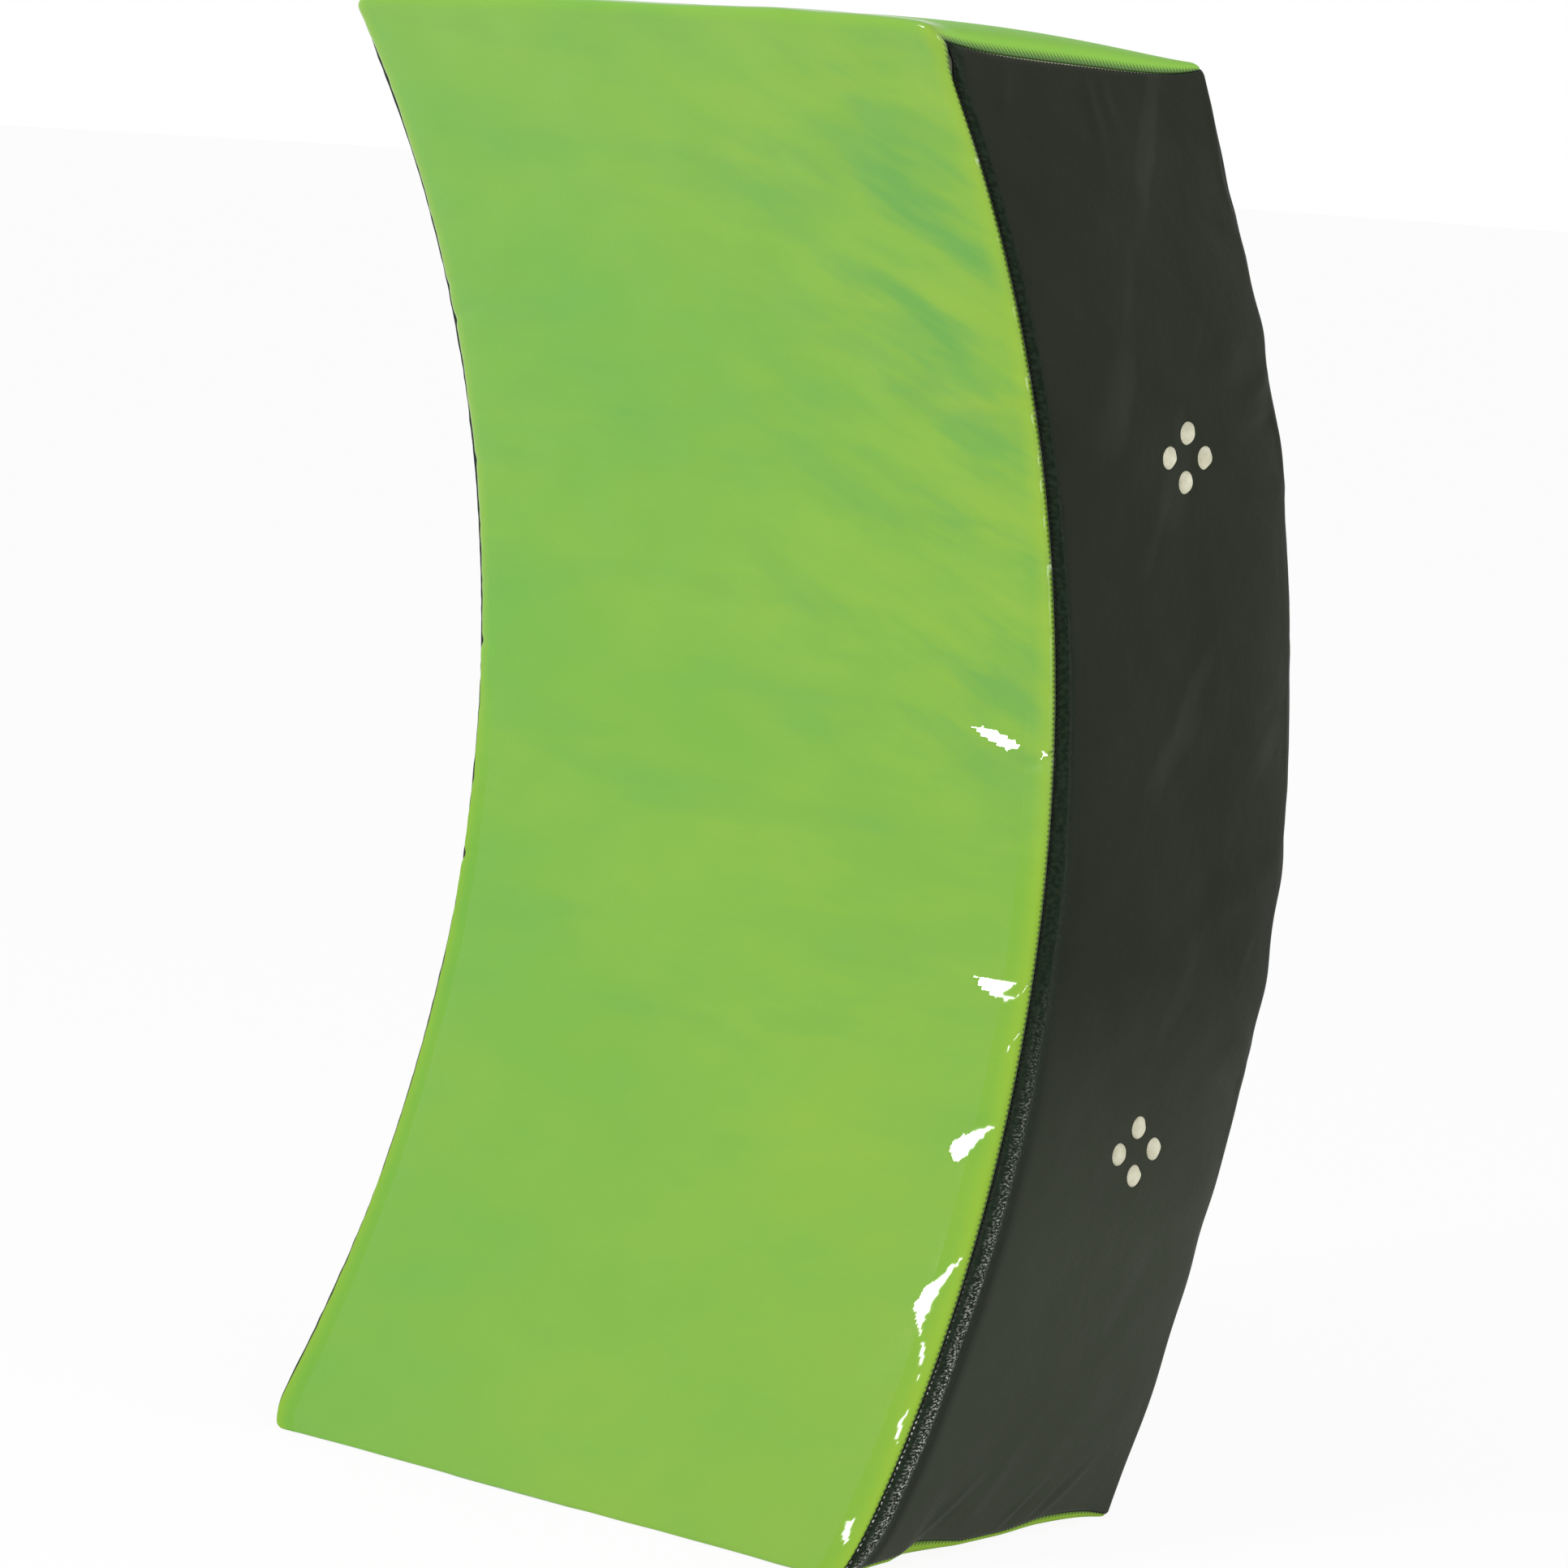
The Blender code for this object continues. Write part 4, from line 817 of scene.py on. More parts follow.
# Each tuck gathered by a seam of the panel: depth, height, half length, half width, turn, how proud.
TUCKS = (
    (108, 12, 13, 1.6, 48, 0.9), (113, 11, 13, 1.8, 50, -0.7), (140, 13, 17, 1.8, 44, 0.9),
    (133, 12, 15, 2.2, 46, -0.6), (126, 11, 12, 1.6, 46, 0.5), (52, 16, 17, 1.6, 50, 1.0),
    (58, 15, 15, 2.0, 52, -0.8), (78, 24, 20, 5, 70, 0.5), (92, 676, 18, 4, 85, 0.6),
    (104, 682, 14, 3.5, 95, 0.5), (30, 680, 14, 4, 70, 0.6), (180, 549, 18, 5, 25, 1.2),
    (176, 529, 16, 4, 12, -1.4), (182, 498, 14, 5, 5, 0.9), (178, 624, 14, 5, -10, 0.9),
    (150, 300, 26, 8, 30, 0.6), (180, 205, 16, 5, -20, -1.0), (182, 224, 14, 5, -16, 0.8),
    (150, 560, 30, 9, 24, 0.5), (120, 420, 40, 14, -60, 0.4), (60, 240, 40, 12, 70, 0.35),
    (175, 392, 14, 5, 10, -0.6), (178, 318, 14, 6, -8, 0.7),
)
# Lengths of a side's swelling and dimples, and the calm rim round it.
SIDE_SWELL, SIDE_DIMPLE, SIDE_CALM = 110 * MM, 35 * MM, 10 * MM
# The groove behind the ridge, the waves on the ridge and the dip round each vent.
GROOVE_PLACE, GROOVE_HALF = 16 * MM, 3.5 * MM
WAVE_PLACE, WAVE_HALF, WAVE_LONG, VENT_DIP = 7.5 * MM, 6 * MM, 9 * MM, 8.5 * MM
# The grid's steps: on the ridge, behind it and up the panel.
RIDGE_STEP, RIDGE_END, AFTER_RIDGE = 0.8 * MM, 17 * MM, 17.5 * MM
SIDE_STEPS, SIDE_RISE_STEPS = (1 * MM, 2.4 * MM, 10 * MM), (1 * MM, 2 * MM, 36 * MM)


def side_relief(q, z):
    """How far a side panel stands proud of the smooth block."""
    out = 0.35 * soft_noise(q, z, SIDE_SWELL, 12) + 0.12 * soft_noise(q, z, SIDE_DIMPLE, 14)
    for q_mid, z_mid, half_long, half_wide, turn, proud in TUCKS:
        out += proud * np.exp(-spot(q, z, q_mid, z_mid, half_long, half_wide, turn))
    away = np.minimum(np.minimum(q, DEPTH - q), np.minimum(z, HEIGHT - z))
    out = out * np.clip(away / SIDE_CALM, 0, 1)
    lower = 1 - ease((z / HEIGHT - 0.25) / 0.5)
    out -= 0.45 * lower * np.exp(-((q - GROOVE_PLACE) / GROOVE_HALF) ** 2) * crown(2 * z / HEIGHT - 1, 24)
    out += 0.10 * soft_noise(q * 0.3, z, WAVE_LONG, 40) * np.exp(-((q - WAVE_PLACE) / WAVE_HALF) ** 2)
    for q_vent, z_vent in vents:
        out -= 0.5 * np.exp(-((q - q_vent) ** 2 + (z - z_vent) ** 2) / VENT_DIP ** 2)
    return out * np.clip(away / STILL_RIM, 0, 1) * MM - seam_groove(away), away


# %% [markdown]
# A cone with equal ends is a short rod, which punches each vent through the sheet.

# %% Side sheets
def make_side(hand, side):
    front = np.arange(SEAM_GAP, RIDGE_END, RIDGE_STEP)
    depths = np.concatenate([front, spaced(AFTER_RIDGE, DEPTH - SEAM_GAP, *SIDE_STEPS)])
    heights = spaced(SEAM_GAP, HEIGHT - SEAM_GAP, *SIDE_RISE_STEPS)
    q, z = np.meshgrid(depths, heights)
    proud, away = side_relief(q, z)
    outer = cover_point(side * WIDTH / 2, q, z, -proud, 1)
    inner = cover_point(side * WIDTH / 2, q, z, COVER - proud, 1)
    panel = new_sheet(f"side_cover_{hand}", outer, inner, np.stack([q, z, away], -1), black.material)
    bm = bmesh.new()
    for q_vent, z_vent in vents:
        middle = cover_point(side * WIDTH / 2, q_vent, z_vent)
        turn = Matrix.Translation(middle) @ Matrix.Rotation(math.pi / 2, 4, "Y")
        bmesh.ops.create_cone(
            bm, cap_ends=True, segments=VENT_SIDES, radius1=VENT_RADIUS, radius2=VENT_RADIUS,
            depth=PUNCH_LONG, matrix=turn,
        )
    punch_mesh = bpy.data.meshes.new("punch")
    bm.to_mesh(punch_mesh)
    bm.free()
    punch = bpy.data.objects.new("punch", punch_mesh)
    bpy.context.scene.collection.objects.link(punch)
    cut(panel, punch)
    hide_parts(f"side_panel_{hand}")
    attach(panel, "pad")


for side, hand in HANDS:
    make_side(hand, side)

# %% [markdown]
# ## The back panel and its zip slot
# The back panel closes the cover. It carries the straps and has a slot near the top, with a zip
# behind it, through which the foam goes in. The photograph doesn't show it, so it is kept plain. The
# slot is cut with a rounded bar, and everything around it stays at the height that the zip needs.

# %% Back panel
ZIP_DROP, ROW_INSET, STRAP_FROM_MIDDLE = 52 * MM, 59 * MM, 200 * MM
ZIP_HEIGHT, ROW_LENGTH = HEIGHT - ZIP_DROP, WIDTH - 2 * ROW_INSET
STRAP_HEIGHTS = {"upper": HEIGHT / 2 + STRAP_FROM_MIDDLE, "lower": HEIGHT / 2 - STRAP_FROM_MIDDLE}
# How far the slot goes past the row of teeth, its half height and corners, and its cutter's reach.
SLOT_PAST, SLOT_TALL, SLOT_CORNER, SLOT_REACH = 4.3 * MM, 6.4 * MM, 3 * MM, 8 * MM
SLOT_HALF = ROW_LENGTH / 2 + SLOT_PAST
# Lengths of the back's swelling, dimples and puckers, and the calm places at zip, straps and rim.
BACK_SWELL, BACK_DIMPLE, BACK_PUCKER, BACK_REACH = 120 * MM, 42 * MM, 24 * MM, 20 * MM
ZIP_CALM, ZIP_CALM_LONG, STRAP_CALM, BACK_CALM = 22 * MM, 150 * MM, 40 * MM, 12 * MM
BACK_STEPS, BACK_RISE_STEPS = (1.2 * MM, 5 * MM, 12 * MM), (1.2 * MM, 4 * MM, 12 * MM)


def back_frame(z):
    """Across, out of and up the back panel at its middle, as a matrix."""
    origin = cover_point(0, DEPTH, z)
    up = cover_point(0, DEPTH, z + EDGE) - cover_point(0, DEPTH, z - EDGE)
    up = Vector(up).normalized()
    out = up.cross(Vector((1, 0, 0)))
    turn = Matrix((Vector((1, 0, 0)), out, up)).transposed().to_4x4()
    turn.translation = Vector(origin)
    return turn


# Each drag line below or above a strap end: x, height, half length, half width, turn, how proud.
BACK_DRAGS = (
    (96, 478, 52, 7, 58, 1.0), (84, 470, 50, 7, 50, -0.8), (128, 470, 42, 7, 96, 0.9),
    (60, 440, 60, 11, 30, 0.6), (100, 222, 46, 7, -55, 0.9), (88, 232, 46, 7, -47, -0.8),
    (132, 230, 40, 7, -92, 0.8), (64, 264, 56, 11, -28, 0.5), (0, 350, 70, 16, 0, 0.5),
    (150, 350, 60, 10, 86, -0.6), (30, 40, 60, 9, 20, 0.7), (110, 34, 46, 8, -14, 0.8),
)


def back_relief(x, z):
    """How far the back panel stands proud. It is still around the zip and the straps."""
    away = np.minimum(seam_distance(x), np.minimum(z, HEIGHT - z))
    out = 0.6 * soft_noise(x, z, BACK_SWELL, 31) + 0.25 * soft_noise(x, z, BACK_DIMPLE, 32)
    out += 0.7 * np.exp(-away / BACK_REACH) * soft_noise(x, z, BACK_PUCKER, 33)
    for x_mid, z_mid, half_long, half_wide, turn, proud in BACK_DRAGS:
        for side in (1, -1):
            out += proud * np.exp(-spot(x * side, z, x_mid, z_mid, half_long, half_wide, turn))
    calm = np.exp(-((z - ZIP_HEIGHT) / ZIP_CALM) ** 4) * (np.abs(x) < ZIP_CALM_LONG)
    for strap_height in STRAP_HEIGHTS.values():
        calm = np.maximum(calm, np.exp(-((z - strap_height) / STRAP_CALM) ** 4))
    out = out * (1 - calm) * np.clip(away / BACK_CALM, 0, 1)
    return out * MM - seam_groove(away), away


# %% [markdown]
# The black vinyl draws its ridge where the cloth's place across is close to 0. The back and its
# patches are therefore marked as one metre further across.

# %% Back sheet and slot
CLOTH_SHIFT = 1
columns = spaced(-WIDTH / 2 + SEAM_GAP, WIDTH / 2 - SEAM_GAP, *BACK_STEPS)
x_back, z_back = np.meshgrid(columns, spaced(SEAM_GAP, HEIGHT - SEAM_GAP, *BACK_RISE_STEPS))
proud, away = back_relief(x_back, z_back)
outer = cover_point(x_back, DEPTH, z_back, -proud)
inner = cover_point(x_back, DEPTH, z_back, COVER - proud)
flat_place = np.stack([x_back + CLOTH_SHIFT, z_back, away], -1)
back = new_sheet("back_cover", outer, inner, flat_place, black.material)


def rounded_bar(name, half_long, half_tall, low, high, corner, turn, material):
    """A flat bar with round corners in the plane of the zip, from one level to another."""
    outline = []
    for cx, cz, first in ((1, 1, 0), (-1, 1, 90), (-1, -1, 180), (1, -1, 270)):
        for angle in np.radians(np.linspace(first, first + 90, 7)):
            x, z = corner * math.cos(angle), corner * math.sin(angle)
            outline.append((cx * (half_long - corner) + x, cz * (half_tall - corner) + z))
    points = [turn @ Vector((x, level, z)) for level in (low, high) for x, z in outline]
    count = len(outline)
    faces = [[k, (k + 1) % count, (k + 1) % count + count, k + count] for k in range(count)]
    faces += [list(range(count)), list(range(count, 2 * count))]
    return new_piece(name, points, faces, material)


zip_turn = back_frame(ZIP_HEIGHT)
slot_sizes = (SLOT_HALF, SLOT_TALL, -SLOT_REACH, SLOT_REACH, SLOT_CORNER)
cut(back, rounded_bar("slot", *slot_sizes, zip_turn, black.material))
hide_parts("back_panel")
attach(back, "pad")

# %% [markdown]
# ## The foam core
# The core is one block of foam that fills the cover. It shows only at the vents, where it swells out
# into small domes. The block is six grids on the same bent block, a little deeper than the cover,
# and each dome is a flattened ball half sunk in it.

# %% Foam block and domes
CORE_STEPS, JOIN_NEAR = (2 * MM, 10 * MM, 8 * MM), 0.05 * MM
# How deep the zip presses the foam, and over what half height and half length.
PRESS_DEEP, PRESS_TALL, PRESS_LONG = 3.7 * MM, 21 * MM, 150 * MM
# A dome's middle lies under the cover, it is flatter than it is wide, and its skin is a little uneven.
DOME_SINK, DOME_OUT, DOME_WIDE, DOME_DENT, DENT_LONG = 2.6 * MM, 4.0 * MM, 6.1 * MM, 0.12 * MM, 6 * MM


def core_grid(fixed, value, first, second):
    """One face of the block, as a grid of x, q and z."""
    a, b = np.meshgrid(first, second)
    grid = [a, b]
    grid.insert(fixed, np.full(a.shape, value))
    return grid


limits = ((-WIDTH / 2, WIDTH / 2), (0, DEPTH), (0, HEIGHT))
steps = [spaced(low, high, *CORE_STEPS) for low, high in limits]
points, faces = [], []
for fixed in range(3):
    first, second = [steps[k] for k in range(3) if k != fixed]
    for value in limits[fixed]:
        x, q, z = core_grid(fixed, value, first, second)
        pressed = (q > DEPTH - 1e-6) * np.exp(-((z - ZIP_HEIGHT) / PRESS_TALL) ** 6)
        pressed = pressed * np.exp(-(x / PRESS_LONG) ** 12)
        faces.append(grid_faces(*x.shape, first=sum(len(p) for p in points))[0])
        points.append(cover_point(x, q, z, CORE_SINK + PRESS_DEEP * pressed).reshape(-1, 3))
core_mesh = bpy.data.meshes.new("foam_block")
core_mesh.from_pydata(np.concatenate(points).tolist(), [], np.concatenate(faces).tolist())
bm = bmesh.new()
bm.from_mesh(core_mesh)
bmesh.ops.remove_doubles(bm, verts=bm.verts[:], dist=JOIN_NEAR)
bmesh.ops.recalc_face_normals(bm, faces=bm.faces[:])
for side in (-1, 1):
    for number, (q_vent, z_vent) in enumerate(vents):
        middle = Vector(cover_point(side * WIDTH / 2, q_vent, z_vent, DOME_SINK))
        size = Matrix.Diagonal((DOME_OUT, DOME_WIDE, DOME_WIDE, 1))
        ball = bmesh.ops.create_uvsphere(
            bm, u_segments=32, v_segments=20, radius=1,
            matrix=Matrix.Translation(middle) @ size @ Matrix.Rotation(math.pi / 2, 4, "Y"),
        )
        for vert in ball["verts"]:
            y, z = vert.co.y - middle.y, vert.co.z - middle.z
            # Each dome takes its dents from another place of the noise.
            dent = soft_noise(y + number * 0.02, z + side * 0.03, DENT_LONG, 50)
            vert.co.x += side * DOME_DENT * float(dent)
bm.to_mesh(core_mesh)
bm.free()
core_mesh.materials.append(foam.material)
core_mesh.shade_smooth()
core = bpy.data.objects.new("foam_block", core_mesh)
bpy.context.scene.collection.objects.link(core)
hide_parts("foam_core")
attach(core, "pad")
print("foam block:", len(core_mesh.vertices), "points")

# %% [markdown]
# ## The turned seam allowance
# Under each ridge lie the two allowances of the seam, turned back and stitched down. Only their
# thickness shows, as the ridge. A strip that fills the space between ridge and foam is enough. Its
# outer skin follows the ridge and its inner skin the block.

# %% Seam rolls
ROLL_FROM, ROLL_TO, ROLL_COLUMNS, ROLL_END = 4.25 * MM, 10.75 * MM, 9, 12 * MM
ROLL_STEPS = (2 * MM, 6 * MM, 10 * MM)
# How far the two skins lie under the cover, and the height and length of the roll's waves.
ROLL_OUTER, ROLL_INNER, ROLL_WAVE, ROLL_WAVE_LONG = 0.7 * MM, 1.0 * MM, 0.1 * MM, 12 * MM


def make_roll(hand, side):
    depths = np.linspace(ROLL_FROM, ROLL_TO, ROLL_COLUMNS)
    q, z = np.meshgrid(depths, spaced(ROLL_END, HEIGHT - ROLL_END, *ROLL_STEPS))
    wavy = ROLL_WAVE * soft_noise(q, z, ROLL_WAVE_LONG, 60)
    outer = cover_point(side * WIDTH / 2, q, z, COVER + ROLL_OUTER + wavy, 1)
    inner = cover_point(side * WIDTH / 2, q, z, COVER + ROLL_INNER, 0)
    roll = new_sheet(f"seam_allowance_{hand}", outer, inner, np.stack([q, z, q], -1), thread_seam.material)
    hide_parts(f"front_seam_roll_{hand}")
    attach(roll, "pad")


for side, hand in HANDS:
    make_roll(hand, side)

# %% [markdown]
# ## The stitched seams
# The panels are sewn inside out, so from outside a seam is a groove with short lengths of thread
# across the bottom of it. The stitches follow each panel's edge just inside its rim.

# %% Seam stitches
# How far the rows lie in from the rim, how far from the corners the back's rows end, how deep the
# thread lies, and a step outwards that tells which way is out.
RIM_INSET, ROW_END, SEAM_DEEP, OUT_STEP = 0.75 * MM, 1.5 * MM, 0.7 * MM, 1 * MM


def rim_path(corners, step=2 * MM):
    """Points a step apart round the straight lines between some corners."""
    points = []
    for start, end in zip(corners, corners[1:]):
        count = int(np.linalg.norm(np.subtract(end, start)) / step)
        points += [np.add(start, np.subtract(end, start) * k / count) for k in range(count)]
    return np.array(points + [corners[-1]])


def sewn(place_of, corners, lift):
    """The stitches along a line of flat places, on the skin that place_of gives."""
    path = rim_path(corners)
    skin, above = place_of(path, -lift), place_of(path, -lift - OUT_STEP)
    return stitch_line(skin, above - skin)


def side_place(side):
    """A function from flat places on a side panel to points on its skin."""
    return lambda path, sink: cover_point(side * WIDTH / 2, path[:, 0], path[:, 1], sink, 1)


def back_place(path, sink):
    return cover_point(path[:, 0], DEPTH, path[:, 1], sink)


def sew(name, rows):
    """Makes the stitches of some rows as one piece that rides with the pad."""
    stitches = new_stitches(name, *rows, thread.material)
    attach(stitches, "pad")
    print(f"{name}: {len(rows[0])} stitches")


near, far_q, far_z, far_x = RIM_INSET, DEPTH - RIM_INSET, HEIGHT - RIM_INSET, WIDTH / 2 - ROW_END
for side, hand in HANDS:
    rim = ((near, near), (near, far_z), (far_q, far_z), (far_q, near), (near, near))
    sew(f"seam_stitches_{hand}", sewn(side_place(side), rim, -SEAM_DEEP))
for level, z in (("top", far_z), ("base", near)):
    sew(f"seam_stitches_{level}", sewn(back_place, ((-far_x, z), (far_x, z)), -SEAM_DEEP))

# %% [markdown]
# ## The arm straps
# Each strap is a loop of flat webbing, gathered to a neck where it leaves its sewn ends, with a
# soft pad under its middle. Flat webbing keeps its width, so it is lofted: one flat ring of points
# after another along its line. The loop swings about its necks, and the sewn ends stay on the panel.

# %% Strap sections
# The loop spans this share of the width. It rises over its axis, and the axis lies over the panel.
SPAN_SHARE, STRAP_RISE, AXIS_RISE = 0.48, 58 * MM, 10 * MM
HALF_SPAN = WIDTH / 2 * SPAN_SHARE
WEB_WIDTH, WEB_THICK, WEB_SEAT = 50 * MM, 2.6 * MM, 2.0 * MM
NECK_WIDTH, NECK_THICK, NECK_SHARE, TURN_LENGTH = 14 * MM, 4.6 * MM, 0.14, 26 * MM
RING_POINTS, PLEATS, PLEAT_DEEP = 48, 6, 0.9 * MM
PATCH_INSET = 18 * MM
PATCH_FAR, PATCH_NEAR = WIDTH / 2 - PATCH_INSET, HALF_SPAN + TURN_LENGTH / 2
# Loop and sewn end meet at the join.
JOIN, END_SHORT, PAD_SIDE, STRAP_SIDE = 72 * MM, 8 * MM, 104 * MM, 76 * MM


def flat_ring(width, thick, gather):
    """A flat rounded section, pleated where it is gathered: across and out."""
    turn = np.linspace(0, 2 * np.pi, RING_POINTS, endpoint=False)
    across = np.sign(np.cos(turn)) * np.abs(np.cos(turn)) ** 0.5 * width / 2
    out = np.sign(np.sin(turn)) * np.abs(np.sin(turn)) ** 0.4 * thick / 2
    pleats = np.cos(PLEATS * np.pi * across / width) * gather * PLEAT_DEEP
    return across, out + pleats * np.sign(out)


def loop_height(x):
    """How high the loop's middle is over its axis."""
    return STRAP_RISE * np.sin(np.pi * (x / HALF_SPAN + 1) / 2)


def strap_station(turn, z, x):
    """The webbing's middle, width, thickness and gather at x, in the strap's frame."""
    far = abs(x)
    if far <= HALF_SPAN:
        share = (x / HALF_SPAN + 1) / 2
        open_share = ease(min(share, 1 - share) / NECK_SHARE)
        middle = AXIS_RISE + loop_height(x)
        slope = STRAP_RISE * math.pi / (2 * HALF_SPAN) * math.cos(math.pi * share)
        stretch = math.sqrt(1 + slope ** 2)
    else:
        along = far - HALF_SPAN
        open_share = ease(along / TURN_LENGTH)
        thick = NECK_THICK + (WEB_THICK - NECK_THICK) * open_share
        surface = (turn.inverted() @ Vector(cover_point(x, DEPTH, z))).y
        seat = surface + WEB_SEAT + thick / 2
        middle = seat + (AXIS_RISE - seat) * max(0, 1 - along / TURN_LENGTH) ** 2
        stretch = 1
    width = NECK_WIDTH + (WEB_WIDTH - NECK_WIDTH) * open_share
    thick = (NECK_THICK + (WEB_THICK - NECK_THICK) * open_share) * stretch
    return middle, width, thick, 1 - open_share


def loft(name, sections, cloth, material):
    """A closed skin through equal rings."""
    rings, count = len(sections), len(sections[0])
    points = np.array(sections).reshape(-1, 3)
    faces = []
    for k in range(rings - 1):
        for j in range(count):
            after = (j + 1) % count
            low, high = k * count, (k + 1) * count
            faces.append([low + j, low + after, high + after, high + j])
    faces += [list(range(count)), list(range((rings - 1) * count, rings * count))]
    piece = new_piece(name, points, faces, material, 60)
    mark(piece, "cloth", cloth)
    return piece


def make_webbing(name, level, stations):
    z = STRAP_HEIGHTS[level]
    turn = back_frame(z)
    sections, cloth, run = [], [], 0.0
    for k, x in enumerate(stations):
        middle, width, thick, gather = strap_station(turn, z, x)
        across, out = flat_ring(width, thick, gather)
        sections.append([list(turn @ Vector((x, middle + o, a))) for a, o in zip(across, out)])
        cloth += [(a * WEB_WIDTH / width, run, 0.01) for a in across]
        if k + 1 < len(stations):
            after = strap_station(turn, z, stations[k + 1])[0]
            run += math.hypot(stations[k + 1] - x, after - middle)
    return loft(name, sections, cloth, webbing.material)


# %% [markdown]
# A loop and its two sewn ends are lofted through the same sections, so they meet without a step.

# %% Loops and sewn ends
for level in STRAP_HEIGHTS:
    loop = make_webbing(f"strap_loop_{level}", level, np.linspace(-JOIN, JOIN, 97))
    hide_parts(f"strap_web_{level}")
    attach(loop, f"strap_{level}")
    turn = back_frame(STRAP_HEIGHTS[level])
    for side, hand in HANDS:
        stations = side * np.linspace(JOIN, PATCH_FAR - END_SHORT, 61)
        end = make_webbing(f"strap_end_{level}_{hand}", level, stations)
        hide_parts(f"strap_anchor_{level}_{hand}")
        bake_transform(end)
print("straps lofted at", STRAP_HEIGHTS)

# %% [markdown]
# ## The arm pads
# Each pad is soft foam in a sewn sleeve under the webbing, with two sewn channels along it. Cloth
# simulation gives such a quilted sleeve its swelling better than a formula: the sleeve starts a
# little flat, its seams and channels are held still, and pressure from inside blows up the rest for
# twenty steps. The result is kept as plain mesh.

# %% Arm pads
# The pad's width, its thickness in the middle and at its edges, the share of the loop that stays
# bare at each end, and the gap to the webbing.
PAD_WIDTH, PAD_THICK, PAD_EDGE, PAD_START, PAD_GAP = 62 * MM, 9 * MM, 4 * MM, 0.19, 0.3 * MM
# A channel's distance from the middle, its half width and its depth.
CHANNEL, CHANNEL_WIDE, CHANNEL_DEEP = 12 * MM, 1.4 * MM, 1.2 * MM
# The pressure inside, the steps it acts, and the farthest that a point may move.
PAD_PRESSURE, PAD_STEPS, PAD_CAP = 22.0, 20, 3 * MM
PAD_RINGS, PAD_POINTS = 57, 72


def inflate(piece, held):
    """Blows a closed sleeve up by cloth simulation, with some of its points held still."""
    still = piece.vertex_groups.new(name="sewn")
    still.add(held, 1.0, "REPLACE")
    puff = piece.modifiers.new("puff", "CLOTH")
    puff.settings.vertex_group_mass = "sewn"
    puff.settings.use_pressure = True
    puff.settings.uniform_pressure_force = PAD_PRESSURE
    puff.settings.effector_weights.gravity = 0
    puff.settings.mass = 0.02
    puff.settings.tension_stiffness = puff.settings.compression_stiffness = 5
    puff.settings.bending_stiffness = 0.05
    puff.collision_settings.use_collision = False
    for step in range(1, PAD_STEPS + 1):
        bpy.context.scene.frame_set(step)
    before = np.array([vert.co for vert in piece.data.vertices])
    graph = bpy.context.evaluated_depsgraph_get()
    after = np.array([vert.co for vert in piece.evaluated_get(graph).data.vertices])
    move = after - before
    far = np.linalg.norm(move, axis=1)
    move *= np.minimum(1, PAD_CAP / np.maximum(far, 1e-9))[:, None]
    piece.modifiers.clear()
    piece.vertex_groups.clear()
    piece.data.vertices.foreach_set("co", (before + move).ravel())
    bpy.context.scene.frame_set(1)
    print(f"{piece.name}: swelled by up to {far.max() * 1000:.2f} mm, {far.mean() * 1000:.2f} mm on average")


def make_pad(level):
    turn = back_frame(STRAP_HEIGHTS[level]) @ Matrix.Translation((0, AXIS_RISE, 0))
    sections, cloth, held = [], [], []
    for ring, along in enumerate(np.linspace(-1, 1, PAD_RINGS)):
        x = along * (1 - 2 * PAD_START) * HALF_SPAN
        slope = STRAP_RISE * math.pi / (2 * HALF_SPAN) * math.cos(math.pi * (x / HALF_SPAN + 1) / 2)
        stretch = math.sqrt(1 + slope ** 2)
        end = math.sqrt(1 - 0.8 * along ** 8)
        top = loop_height(x) - (WEB_THICK / 2 + PAD_GAP) * stretch
        section = []
        for point, angle in enumerate(np.linspace(0, 2 * np.pi, PAD_POINTS, endpoint=False)):
            c, s = math.cos(angle), math.sin(angle)
            across = math.copysign(abs(c) ** 0.6, c) * PAD_WIDTH / 2 * end
            fill = math.sqrt(max(0, 1 - 0.9 * (across / (PAD_WIDTH / 2)) ** 2))
            deep = PAD_EDGE + (PAD_THICK - PAD_EDGE) * fill * end
            in_channel = math.exp(-((abs(across) - CHANNEL) / CHANNEL_WIDE) ** 2) * (s < 0) * end
            out = top - deep / 2 * stretch + math.copysign(abs(s) ** 0.5, s) * deep / 2 * stretch
            section.append(list(turn @ Vector((x, out + CHANNEL_DEEP * in_channel, across))))
            cloth.append((across, x, 0.01))
            if s >= 0 or in_channel > 0.6 or ring in (0, PAD_RINGS - 1) or abs(c) > 0.985:
                held.append(ring * PAD_POINTS + point)
        sections.append(section)
    pad = loft(f"arm_pad_{level}", sections, cloth, binding.material)
    inflate(pad, held)
    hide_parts(f"strap_pad_{level}")
    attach(pad, f"strap_{level}")


for level in STRAP_HEIGHTS:
    make_pad(level)

# %% [markdown]
# ## Reinforcing patches
# A patch of the same black vinyl spreads the pull of each strap end over the back panel. It is a
# small sheet with round corners that lies on the panel. The points past each corner's middle are
# drawn in to its circle.

# %% Patches
# How far a patch goes past the webbing, its corners, and how far its two skins stand off the panel.
PATCH_PAST, PATCH_CORNER, PATCH_OUTER, PATCH_INNER = 8 * MM, 8 * MM, 1.6 * MM, 0.15 * MM
# The dip along its row of stitches: how deep, how far in from the rim and how wide.
DIP_DEEP, DIP_INSET, DIP_WIDE = 0.5 * MM, 3 * MM, 1.2 * MM
# What is added to the distance from its rim that the vinyl reads, as no seam runs there.
NO_SEAM = 3 * MM


